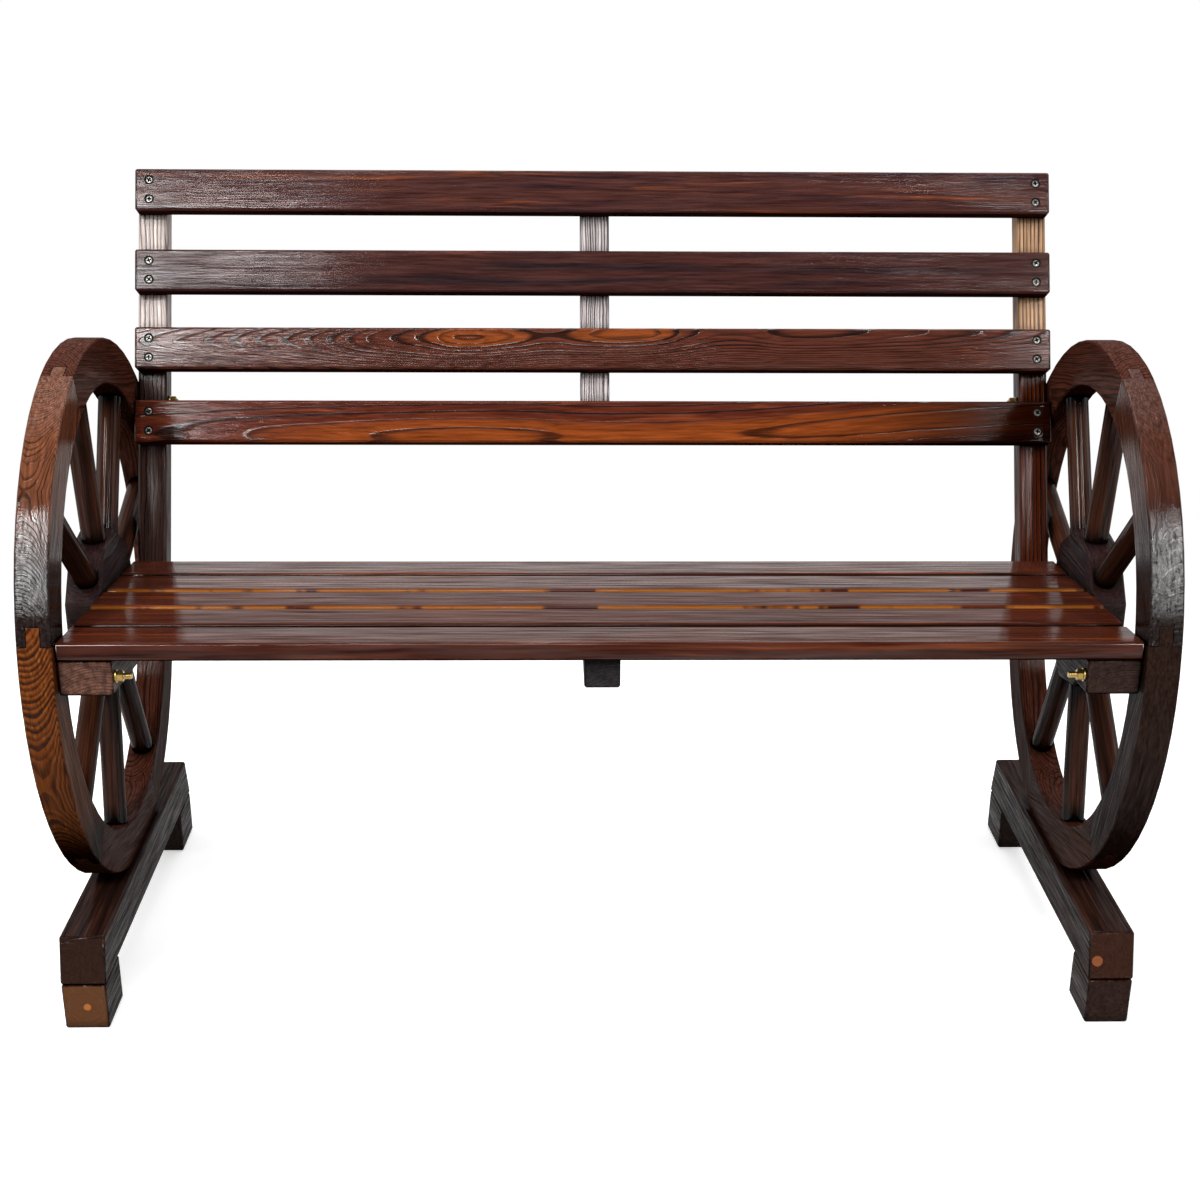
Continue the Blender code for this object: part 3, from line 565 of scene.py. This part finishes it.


# %% [markdown]
# ## Wheels
# Each rim is six felloes sawn from straight planks. The grain runs along a felloe's chord, so its tread shows
# ovals in the middle and stripes across near its ends. Spokes are turned, with the grain along them, and they
# turn near black where they enter the hub and the rim.

# %% wheels
RIM_LOOK = STAINED._replace(ring=8, tighten=28, wander=7, line=0.9, dark_part=0.5, spring="45241a", summer="1c0f0b",
                            amber="8a4e28", amber_share=0.1, smoke="20130f", smoke_share=0.15, relief=0.2,
                            grit=0.3, coat=0.15, coat_rough=0.1)
FELLOE_LOOKS = {
    ("left", 1): RIM_LOOK._replace(ring=5.5, spring="5f3724", summer="28140c", amber="9a5c34", amber_share=0.15,
                                   smoke_share=0.1, coat=1.0, relief=0.25, coat_rough=0.07,
                                   fade=(False, -20, 90, "4c403c")),
    ("left", 2): RIM_LOOK._replace(ring=9, dark_part=0.8, spring="6c3816", summer="1e0f09", amber="985a26",
                                   amber_share=0.2, smoke_share=0.12, fade=(False, 40, 120, "54463e")),
    ("right", 1): RIM_LOOK._replace(line=0.35, spring="42251c", summer="2a1915", amber="7a4526", amber_share=0.15,
                                    coat=1.0, relief=0.12, grit=1.4, coat_rough=0.08,
                                    fade=(False, -20, 60, "5e5856")),
    ("right", 2): RIM_LOOK._replace(line=0.3, spring="261812", amber_share=0.0, smoke_share=0.25, coat=0.2,
                                    grit=0.6),
}
SPOKE_LOOK = STAINED._replace(ring=7, wander=3, line=0.4, spring="3a1f14", summer="1f120d", amber="5c311d",
                              amber_share=0.15, smoke="1c1210", smoke_share=0.3, relief=0.1, coat=0.5,
                              coat_rough=0.1, end="120b09", fade=(True, 50, 78, "2a1c16"))
HUB_LOOK = STAINED._replace(spring="241410", smoke_share=0.35, end="180f0c", relief=0.5, grit=0.8, coat=0.4)
RIM_RADIUS = 285 * MM
PITH_BELOW_TREAD = 60 * MM
PITH_OFF_CENTRE = 10 * MM
SPOKE_PITH = 30 * MM
HUB_PITH = 70 * MM
for side, sign in SIDES.items():
    for number in range(1, FELLOES + 1):
        angle = FIRST_SEAM + 2 * math.pi / FELLOES * (number - 0.5)
        out = turned_from_top(angle)
        grain = turned_from_top(angle + math.pi / 2)
        pith = AXLE[side] + out * (RIM_RADIUS - PITH_BELOW_TREAD) + ACROSS * PITH_OFF_CENTRE * sign
        look = FELLOE_LOOKS.get((side, number), RIM_LOOK)
        dress(f"felloe_{side}_{number}", EDGE_ON_WHEELS, f"stained fir felloe {side} {number}", grain, out,
              pith, 60 + 7 * number + sign, look)
    for number in range(1, SPOKES + 1):
        node = f"spoke_{side}_{number}"
        out = turned_from_top(FIRST_SPOKE + 2 * math.pi / SPOKES * (number - 1))
        pith = middle(node) + ACROSS * SPOKE_PITH
        dress(node, EDGE_ON_WHEELS, f"stained fir spoke {side} {number}", out, ACROSS, pith,
              120 + 5 * number + sign, SPOKE_LOOK)
    pith = AXLE[side] + UP * HUB_PITH
    dress(f"hub_{side}", EDGE_ON_BOARDS, f"stained fir hub {side}", DEPTH, UP, pith, 170 + sign, HUB_LOOK)
print("felloes:", 2 * FELLOES, "spokes:", 2 * SPOKES, "hubs: 2")


# %% [markdown]
# ## Beams and feet
# The wheels stand on two beams with a foot under each end. Their front ends show rings, because the saw cut
# straight through the wood there. Two ends show a small round orange knot.

# %% beams and feet
BASE_LOOK = STAINED._replace(ring=12, wander=5, spring="301b14", amber_share=0.05, smoke="140c0a", smoke_share=0.3,
                             relief=0.1, coat=0.35, coat_rough=0.12, end="2a1811")
BEAM_KNOT = 6
FOOT_KNOT = 4.2
KNOT_BEHIND_TIP = 5 * MM
KNOT_OFF_CENTRE = 2 * MM
for index, side in enumerate(SIDES):
    node = f"base_beam_{side}"
    pith = middle(node) - ACROSS * 15 * MM - UP * 5 * MM
    look = BASE_LOOK
    if side == "right":
        front = Vector((pith.x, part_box(node)[0].y + KNOT_BEHIND_TIP, pith.z))
        look = BASE_LOOK._replace(end="3a2012", end_share=0.5, line=1.0, relief=0.4,
                                  knot=(front, BEAM_KNOT, "80492e"))
    dress(node, EDGE_ON_BOARDS, f"stained fir beam {side}", DEPTH, UP, pith, 181 + index, look)
    for place in ("front", "rear"):
        node = f"foot_{side}_{place}"
        look = BASE_LOOK
        if (side, place) == ("left", "front"):
            low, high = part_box(node)
            spot = Vector(((low.x + high.x) / 2 + KNOT_OFF_CENTRE, low.y, (low.z + high.z) / 2))
            look = BASE_LOOK._replace(end="6e4426", knot=(spot, FOOT_KNOT, "b06c30"))
        dress(node, EDGE_ON_BOARDS, f"stained fir foot {side} {place}", DEPTH, UP, middle(node),
              191 + index, look)
print("beams: 2, feet: 4")


# %% [markdown]
# ## Metals
# The screws are bright zinc plated steel and the bolts are yellow passivated zinc. Both have faint handling marks,
# which break up their reflections. The recess of a screw and a ring round its head are black, partly stain and
# partly painted shade.

# %% metal finishes
MARK_SIZE = 0.8 * MM
MARK_DEPTH = 0.05 * MM
MARK_LEVELS = (0.3, 0.7)
MARK_TONES = (0.7, 1.1)


def plated(name, tint, rough):
    """A plated steel: a smooth metal with faint handling marks."""
    material = bpy.data.materials.new(name)
    tree = emptied(material)
    place = put(tree, "ShaderNodeTexCoord")
    marks = put(tree, "ShaderNodeTexNoise", {"Vector": place.outputs["Object"], "Scale": 1 / MARK_SIZE,
                                             "Detail": 3.0})
    low, high = MARK_LEVELS
    dull = put(tree, "ShaderNodeMapRange", {0: marks.outputs[0], 1: low, 2: high, 3: rough - 0.08, 4: rough + 0.12})
    shade = put(tree, "ShaderNodeMapRange", {0: marks.outputs[0], 1: low, 2: high, 3: MARK_TONES[0],
                                             4: MARK_TONES[1]})
    tone = put(tree, "ShaderNodeMix", {0: 1.0, 6: colour(tint), 7: shade.outputs[0]}, data_type="RGBA",
               blend_type="MULTIPLY")
    bump = put(tree, "ShaderNodeBump", {"Height": marks.outputs[0], "Strength": 0.3, "Distance": MARK_DEPTH})
    skin = put(tree, "ShaderNodeBsdfPrincipled", {"Base Color": tone.outputs[2], "Metallic": 1.0,
                                                  "Roughness": dull.outputs[0], "Normal": bump.outputs[0]})
    put(tree, "ShaderNodeOutputMaterial", {"Surface": skin.outputs[0]})
    return material


bright_zinc = plated("bright zinc steel", "7c7a75", 0.34)
# Stain and painted shade: this black finish fills the screw recesses and the ring round each head.
black_dirt_and_shade = plated("dirt and painted shade on zinc steel", "181716", 0.6)
yellow_zinc = plated("yellow zinc steel", "a0854c", 0.3)
print("metals:", bright_zinc.name, "and", yellow_zinc.name)


# %% [markdown]
# ## Wood screws
# Countersunk screws with a cross recess. One screw is turned, its recess is cut and copies are driven into
# the holes of the slats, bearers, posts, feet and beams.

# %% one screw
ROUND = 32


def turned(bm, profile, sides):
    """A closed turned shape from radii and heights, first and last on the axis."""
    rings = []
    for radius, height in profile:
        if radius == 0:
            rings.append([bm.verts.new((0, 0, height))])
        else:
            rings.append([bm.verts.new((radius * math.cos(2 * math.pi * step / sides),
                                        radius * math.sin(2 * math.pi * step / sides), height))
                          for step in range(sides)])
    for near, far in zip(rings, rings[1:]):
        for step in range(sides):
            corners = [near[step % len(near)], near[(step + 1) % len(near)],
                       far[(step + 1) % len(far)], far[step % len(far)]]
            bm.faces.new(list(dict.fromkeys(corners)))


def solid(name, bm, materials):
    bmesh.ops.recalc_face_normals(bm, faces=bm.faces)
    mesh = bpy.data.meshes.new(name)
    bm.to_mesh(mesh)
    bm.free()
    for material in materials:
        mesh.materials.append(material)
    made = bpy.data.objects.new(name, mesh)
    scene.collection.objects.link(made)
    return made


# The recess as shares of the head's width, how much it narrows, and a small turn that keeps its corners off the
# edges of the head.
ARM = 0.4
HALF_ARM = 0.14
RECESS_DEEP = 0.24
TAPER = 0.45
CLEAR_OF_CORNERS = 0.03
RECESS_TOP = 0.6
POINT = 6


def screw_mesh(head, shank, length, stain_and_shade_ring):
    """A countersunk screw with its head's top at the origin, pointing down. A black ring of stain and painted shade
    lies round it.
    """
    bm = bmesh.new()
    neck = (head - shank) / 2
    turned(bm, [(0, 0.2), (head * 0.36, 0.14), (head * 0.46, 0), (head / 2, -0.3), *stain_and_shade_ring,
                (head / 2, -0.9), (shank / 2, -neck - 0.9), (shank / 2, POINT - length), (0, -length)], ROUND)
    # Painted shade and stain: the faces outside the head's rim get the black finish.
    for face in bm.faces:
        if face.calc_center_median().xy.length > head / 2:
            face.material_index = 1
    bmesh.ops.scale(bm, vec=(MM, MM, MM), verts=bm.verts)
    screw = solid("screw", bm, [bright_zinc, black_dirt_and_shade])
    bm = bmesh.new()
    arm, half, deep = head * ARM, head * HALF_ARM, head * RECESS_DEEP
    cross = []
    for quarter in range(4):
        spin = Matrix.Rotation(quarter * math.pi / 2 + CLEAR_OF_CORNERS, 2)
        cross += [spin @ Vector(corner) for corner in ((arm, -half), (arm, half), (half, half))]
    mouth = [bm.verts.new((corner.x * MM, corner.y * MM, RECESS_TOP * MM)) for corner in cross]
    floor = [bm.verts.new((corner.x * TAPER * MM, corner.y * TAPER * MM, -deep * MM)) for corner in cross]
    for step in range(len(cross)):
        after = (step + 1) % len(cross)
        bm.faces.new((mouth[step], mouth[after], floor[after], floor[step]))
    bm.faces.new(mouth)
    bm.faces.new(floor)
    # Painted shade and stain: the recess gets the black finish.
    for face in bm.faces:
        face.material_index = 1
    recess = solid("recess", bm, [bright_zinc, black_dirt_and_shade])
    cut = screw.modifiers.new("recess", "BOOLEAN")
    cut.object = recess
    cut.operation = "DIFFERENCE"
    cut.solver = "EXACT"
    mesh = bpy.data.meshes.new_from_object(screw.evaluated_get(bpy.context.evaluated_depsgraph_get()))
    bpy.data.objects.remove(screw)
    bpy.data.objects.remove(recess)
    bm = bmesh.new()
    bm.from_mesh(mesh)
    bmesh.ops.remove_doubles(bm, verts=bm.verts, dist=WELD)
    bmesh.ops.dissolve_degenerate(bm, dist=WELD, edges=bm.edges)
    bm.to_mesh(mesh)
    bm.free()
    return mesh


SPIN = 1.1
SCREW_CREASE = math.radians(30)


def drive(name, mesh, places):
    """Copies of one screw, each turned a little differently, as one piece."""
    bm = bmesh.new()
    for index, (head, inward) in enumerate(places):
        spin = Matrix.Rotation(SPIN * index, 4, "Z")
        aim = (-inward).to_track_quat("Z", "X").to_matrix().to_4x4()
        before = len(bm.verts)
        bm.from_mesh(mesh)
        bm.verts.ensure_lookup_table()
        bmesh.ops.transform(bm, matrix=Matrix.Translation(head) @ aim @ spin, verts=bm.verts[before:])
    made = solid(name, bm, [bright_zinc, black_dirt_and_shade])
    made.data.shade_smooth()
    made.data.set_sharp_from_angle(angle=SCREW_CREASE)
    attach(made, "root")
    print(name, "driven:", len(places))


print("depth of a recess as a share of the head:", RECESS_DEEP)

# %% back screws
# Sizes of a screw in mm: head, shank and length.
BACK_SCREW = (7.4, 4.3, 37)
SUNK = {"back": 0.6 * MM, "seat": 3 * MM, "base": 4 * MM, "post": 2 * MM}
FIT = 0.3 * MM
PAIR = 10.75 * MM
BATTEN_DEEP = 28 * MM
post_x = middle("back_post_right").x
back_places = []
for number in BACK_LOOKS:
    centre = middle(f"back_slat_{number}")
    front = centre + BACK_OUT * (HALF_SLAT - SUNK["back"])
    for sign in SIDES.values():
        for offset in (-PAIR, PAIR):
            back_places.append((Vector((sign * post_x, front.y, front.z)) + BACK_UP * offset, -BACK_OUT))
    rear = centre - BACK_OUT * (HALF_SLAT + FIT + BATTEN_DEEP - SUNK["back"])
    back_places.append((Vector((0, rear.y, rear.z)), BACK_OUT))
# The black ring of stain and painted shade as radii and heights. It lies on the face of the slat, round the sunk
# head.
STAIN_AND_SHADE_RING_ON_FACE = [(4.2, 0.62), (4.7, 0.7), (5.3, 0.68), (5.4, 0.6), (4.5, 0.5)]
drive("back_screws", screw_mesh(*BACK_SCREW, STAIN_AND_SHADE_RING_ON_FACE), back_places)

# %% seat screws
SEAT_SCREW = (8.6, 4.3, 41)
SEAT_STAIN_AND_SHADE_RING = [(4.7, -0.35)]
SEAT_THICK = 18 * MM
BEARER_HIGH = 34.5 * MM
FIRST_SHIFT = {"left": 1.5 * MM, "centre": 13.5 * MM, "right": 1.5 * MM}
seat_places = []
for number in SEAT_OIL:
    under = middle(f"seat_slat_{number}") - SEAT_UP * (SEAT_THICK / 2 + FIT + BEARER_HIGH - SUNK["seat"])
    for place, shift in FIRST_SHIFT.items():
        start = under + SEAT_ALONG * (shift if number == 1 else 0)
        seat_places.append((Vector((middle(f"seat_bearer_{place}").x, start.y, start.z)), SEAT_UP))
drive("seat_screws", screw_mesh(*SEAT_SCREW, SEAT_STAIN_AND_SHADE_RING), seat_places)

# %% base and post screws
BASE_SCREW = (11.6, 5.7, 69)
POST_SCREW = (11.6, 5.7, 55)
WIDE_STAIN_AND_SHADE_RING = [(6.2, -0.35)]
FOOT_PAIR = 18 * MM
WHEEL_PAIR = (-15 * MM, 45 * MM)
HALF_POST = 15 * MM
base_places = []
post_places = []
for side, sign in SIDES.items():
    beam = middle(f"base_beam_{side}")
    under_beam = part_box(f"base_beam_{side}")[0].z + SUNK["base"]
    for place in ("front", "rear"):
        foot = middle(f"foot_{side}_{place}")
        for offset in (-FOOT_PAIR, FOOT_PAIR):
            base_places.append((Vector((foot.x, foot.y + offset, SUNK["base"])), UP))
    for offset in WHEEL_PAIR:
        base_places.append((Vector((beam.x, AXLE[side].y + offset, under_beam)), UP))
    post = middle(f"back_post_{side}")
    climb = (middle(f"seat_bearer_{side}") - post).dot(SEAT_UP) / BACK_UP.dot(SEAT_UP)
    rear = post + BACK_UP * climb - BACK_OUT * (HALF_POST - SUNK["post"])
    post_places.append((Vector((sign * post_x, rear.y, rear.z)), BACK_OUT))
drive("base_screws", screw_mesh(*BASE_SCREW, WIDE_STAIN_AND_SHADE_RING), base_places)
drive("post_screws", screw_mesh(*POST_SCREW, WIDE_STAIN_AND_SHADE_RING), post_places)


# %% [markdown]
# ## Bolts
# Domed bolts hold the wheels to the bearers and posts. Each has a washer, a six-sided nut and a threaded end.
# The thread is a fine ridge that climbs one pitch in each turn.

# %% bolts, in mm along their own length
THREAD_PITCH = 1.0
THREAD_DEPTH = 0.35
THREAD_STEPS = 6
THREAD_SIDES = 24
CHAMFER = 0.8
CHAMFER_SLOPE = 0.6
SHANK = 3.0
NUT_CORNER = 5.774
NUT_THICK = 6
NUT_EDGE = 0.6
WASHER_THICK = 2
WASHER_RADIUS = 6.5
WASHER_EDGE = 0.3
HAIR = 0.02
DOME_HIGH = 3.5
BOLT_CREASE = math.radians(35)
BOLT_ENDS = {"front": 8, "hub": 6, "post": 2}


def thread(bm, length):
    """A threaded rod that starts with a small chamfer."""
    rings = []
    for row in range(round(length * THREAD_STEPS) + 1):
        height = row / THREAD_STEPS
        ring = []
        for step in range(THREAD_SIDES):
            angle = 2 * math.pi * step / THREAD_SIDES
            wave = abs(((height / THREAD_PITCH + step / THREAD_SIDES) % 1) - 0.5) * 2
            radius = SHANK - THREAD_DEPTH * wave - max(0, CHAMFER - height) * CHAMFER_SLOPE
            ring.append(bm.verts.new((radius * math.cos(angle), radius * math.sin(angle), height)))
        rings.append(ring)
    for near, far in zip(rings, rings[1:]):
        for step in range(THREAD_SIDES):
            after = (step + 1) % THREAD_SIDES
            bm.faces.new((near[step], near[after], far[after], far[step]))
    bm.faces.new(rings[0][::-1])
    bm.faces.new(rings[-1])


def bolt(side, place):
    """A bolt along X, from its threaded end inside the bench to its dome outside the wheel."""
    node = f"bolt_{side}_{place}"
    low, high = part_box(node)
    centre = (low + high) / 2
    sign = SIDES[side]
    inner, outer = (low.x, high.x) if sign > 0 else (-high.x, -low.x)
    nut_top = BOLT_ENDS[place]
    nut_base = nut_top + NUT_THICK
    washer_base = nut_base + WASHER_THICK
    dome = (outer - inner) / MM - DOME_HIGH
    bm = bmesh.new()
    thread(bm, nut_top)
    nut_place = Matrix.Translation((0, 0, nut_top + NUT_THICK / 2))
    nut = bmesh.ops.create_cone(bm, cap_ends=True, segments=6, radius1=NUT_CORNER, radius2=NUT_CORNER,
                                depth=NUT_THICK, matrix=nut_place)["verts"]
    edges = [edge for edge in bm.edges if edge.verts[0] in nut and edge.verts[1] in nut
             and abs(edge.verts[0].co.z - edge.verts[1].co.z) < 0.1]
    bmesh.ops.bevel(bm, geom=edges, offset=NUT_EDGE, segments=2, affect="EDGES")
    turned(bm, [(0, nut_base + HAIR), (6.2, nut_base + HAIR), (WASHER_RADIUS, nut_base + WASHER_EDGE),
                (WASHER_RADIUS, washer_base - WASHER_EDGE), (6.3, washer_base), (0, washer_base)], ROUND)
    turned(bm, [(0, washer_base - 0.5), (SHANK, washer_base - 0.5), (SHANK, dome), (7.6, dome), (8, dome + 0.2),
                (7.0, dome + 1.4), (5.0, dome + 2.6), (2.6, dome + 3.3), (0, dome + DOME_HIGH)], ROUND)
    bmesh.ops.scale(bm, vec=(MM, MM, MM), verts=bm.verts)
    aim = Vector((sign, 0, 0)).to_track_quat("Z", "Y").to_matrix().to_4x4()
    start = Vector((sign * inner, centre.y, centre.z))
    bmesh.ops.transform(bm, matrix=Matrix.Translation(start) @ aim, verts=bm.verts)
    made = solid(f"{node}_threaded", bm, [yellow_zinc])
    made.data.shade_smooth()
    made.data.set_sharp_from_angle(angle=BOLT_CREASE)
    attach(made, "root")
    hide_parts(node)


for side in SIDES:
    for place in BOLT_ENDS:
        bolt(side, place)
print("bolts:", len(SIDES) * len(BOLT_ENDS))


# %% [markdown]
# ## Studio
# The bench stands in a round white sweep, a floor that curves up into a wall. Eye and gloss see it white,
# with the bench's shadow near the feet. It sends little light back, so the wood keeps its depth.

# %% sweep
SWEEP_FLAT = 6.0
SWEEP_CURVE = 3.5
SWEEP_HIGH = 6.0
SWEEP_SIDES = 96
SWEEP_STEPS = 8
BELOW_FEET = 0.2 * MM
DIM_PAPER = "4c4a48"
SEEN_PAPER = "f6f6f6"
PAPER_LIFT = 0.45
WHITE_FROM = (0.9, 1.8)
bm = bmesh.new()
profile = [(0, 0), (1.5, 0), (3.5, 0)]
for step in range(SWEEP_STEPS + 1):
    angle = math.pi / 2 * step / SWEEP_STEPS
    profile.append((SWEEP_FLAT + SWEEP_CURVE * math.sin(angle), SWEEP_CURVE * (1 - math.cos(angle))))
profile.append((SWEEP_FLAT + SWEEP_CURVE, SWEEP_HIGH))
turned(bm, profile, SWEEP_SIDES)
sweep = solid("sweep", bm, [])
sweep.location.z = -BELOW_FEET
sweep.data.shade_smooth()
paper = bpy.data.materials.new("white paper")
tree = emptied(paper)
ray = put(tree, "ShaderNodeLightPath")
eye = put(tree, "ShaderNodeMath", {0: ray.outputs["Is Camera Ray"], 1: ray.outputs["Is Glossy Ray"]},
          operation="MAXIMUM")
eye = put(tree, "ShaderNodeMath", {0: eye.outputs[0], 1: ray.outputs["Is Transmission Ray"]}, operation="MAXIMUM")
shade = put(tree, "ShaderNodeMix", {0: eye.outputs[0], 6: colour(DIM_PAPER), 7: colour(SEEN_PAPER)}, data_type="RGBA")
matt = put(tree, "ShaderNodeBsdfDiffuse", {"Color": shade.outputs[2]})
lift = put(tree, "ShaderNodeMath", {0: eye.outputs[0], 1: PAPER_LIFT}, operation="MULTIPLY")
glow = put(tree, "ShaderNodeEmission", {"Color": colour("ffffff"), "Strength": lift.outputs[0]})
near = put(tree, "ShaderNodeAddShader", {0: matt.outputs[0], 1: glow.outputs[0]})
white = put(tree, "ShaderNodeEmission", {"Color": colour("ffffff"), "Strength": 1.0})
spot = put(tree, "ShaderNodeTexCoord")
away = put(tree, "ShaderNodeVectorMath", {0: spot.outputs["Object"]}, operation="LENGTH")
far = put(tree, "ShaderNodeMapRange", {0: away.outputs["Value"], 1: WHITE_FROM[0], 2: WHITE_FROM[1]},
          interpolation_type="SMOOTHSTEP")
seen = put(tree, "ShaderNodeMath", {0: far.outputs[0], 1: eye.outputs[0]}, operation="MULTIPLY")
both = put(tree, "ShaderNodeMixShader", {0: seen.outputs[0], 1: near.outputs[0], 2: white.outputs[0]})
put(tree, "ShaderNodeOutputMaterial", {"Surface": both.outputs[0]})
sweep.data.materials.append(paper)
print("sweep across in m:", 2 * (SWEEP_FLAT + SWEEP_CURVE))

# %% [markdown]
# ## Light
# Light comes from a tall soft box that leans over the left wheel, a narrow one over the right wheel and a broad
# one above the seat. The two leaning boxes leave a bright band on each tread. A thin strip in front puts a sheen
# on the left part of the back slats, and the key light stands higher, so each slat shades the posts below it.
# Weak boxes behind and at both sides keep the far faces from going black.

# %% lights
TARGET = Vector((0, 0, 0.42))
# The world is bright behind the bench only: from where to where it brightens to the rear, and its two strengths.
SKY_LEVELS = (0.2, 0.7)
SKY_STRENGTHS = (0.06, 1.0)


def soft_box(name, low_end, high_end, width, power):
    """A soft box whose long side runs between two points, turned to face the bench."""
    low_end, high_end = Vector(low_end), Vector(high_end)
    centre = (low_end + high_end) / 2
    along = (high_end - low_end).normalized()
    back = centre - TARGET
    back = (back - along * back.dot(along)).normalized()
    lamp = bpy.data.lights.new(name, "AREA")
    lamp.shape = "RECTANGLE"
    lamp.size = width
    lamp.size_y = (high_end - low_end).length
    lamp.energy = power
    made = bpy.data.objects.new(name, lamp)
    turn = Matrix((along.cross(back), along, back)).transposed()
    made.matrix_world = Matrix.Translation(centre) @ turn.to_4x4()
    scene.collection.objects.link(made)


# Both ends of the long side in m, the width in m and the power in W.
soft_box("soft box left", (-1.26, -2.79, 1.43), (-1.12, -1.6, 2.6), 0.2, 64)
soft_box("strip front", (-0.82, -1.45, 2.16), (-0.82, -1.37, 2.25), 0.5, 13)
soft_box("key light", (-0.3, -1.3, 3.0), (-0.3, -0.9, 3.2), 0.9, 22)
soft_box("strip right", (1.39, -2.75, 1.43), (1.32, -1.62, 2.53), 0.1, 52)
soft_box("soft box above", (0, 0.1, 3.0), (0, 1.5, 3.0), 2.4, 36)
soft_box("soft box rear", (0, 2.6, 1.9), (0, 2.3, 2.4), 2.0, 20)
for sign in SIDES.values():
    soft_box("side fill", (sign * 3, 0.2, 0.6), (sign * 2.8, 0.2, 2.0), 1.4, 14)

world = bpy.data.worlds.new("studio")
scene.world = world
tree = emptied(world)
aim = put(tree, "ShaderNodeTexCoord")
parts = put(tree, "ShaderNodeSeparateXYZ", {0: aim.outputs["Generated"]})
behind = put(tree, "ShaderNodeMapRange", {0: parts.outputs[1], 1: SKY_LEVELS[0], 2: SKY_LEVELS[1],
                                          3: SKY_STRENGTHS[0], 4: SKY_STRENGTHS[1]}, interpolation_type="SMOOTHSTEP")
sky = put(tree, "ShaderNodeBackground", {"Color": colour("ffffff"), "Strength": behind.outputs[0]})
put(tree, "ShaderNodeOutputWorld", {"Surface": sky.outputs[0]})
scene.view_settings.view_transform = "Standard"
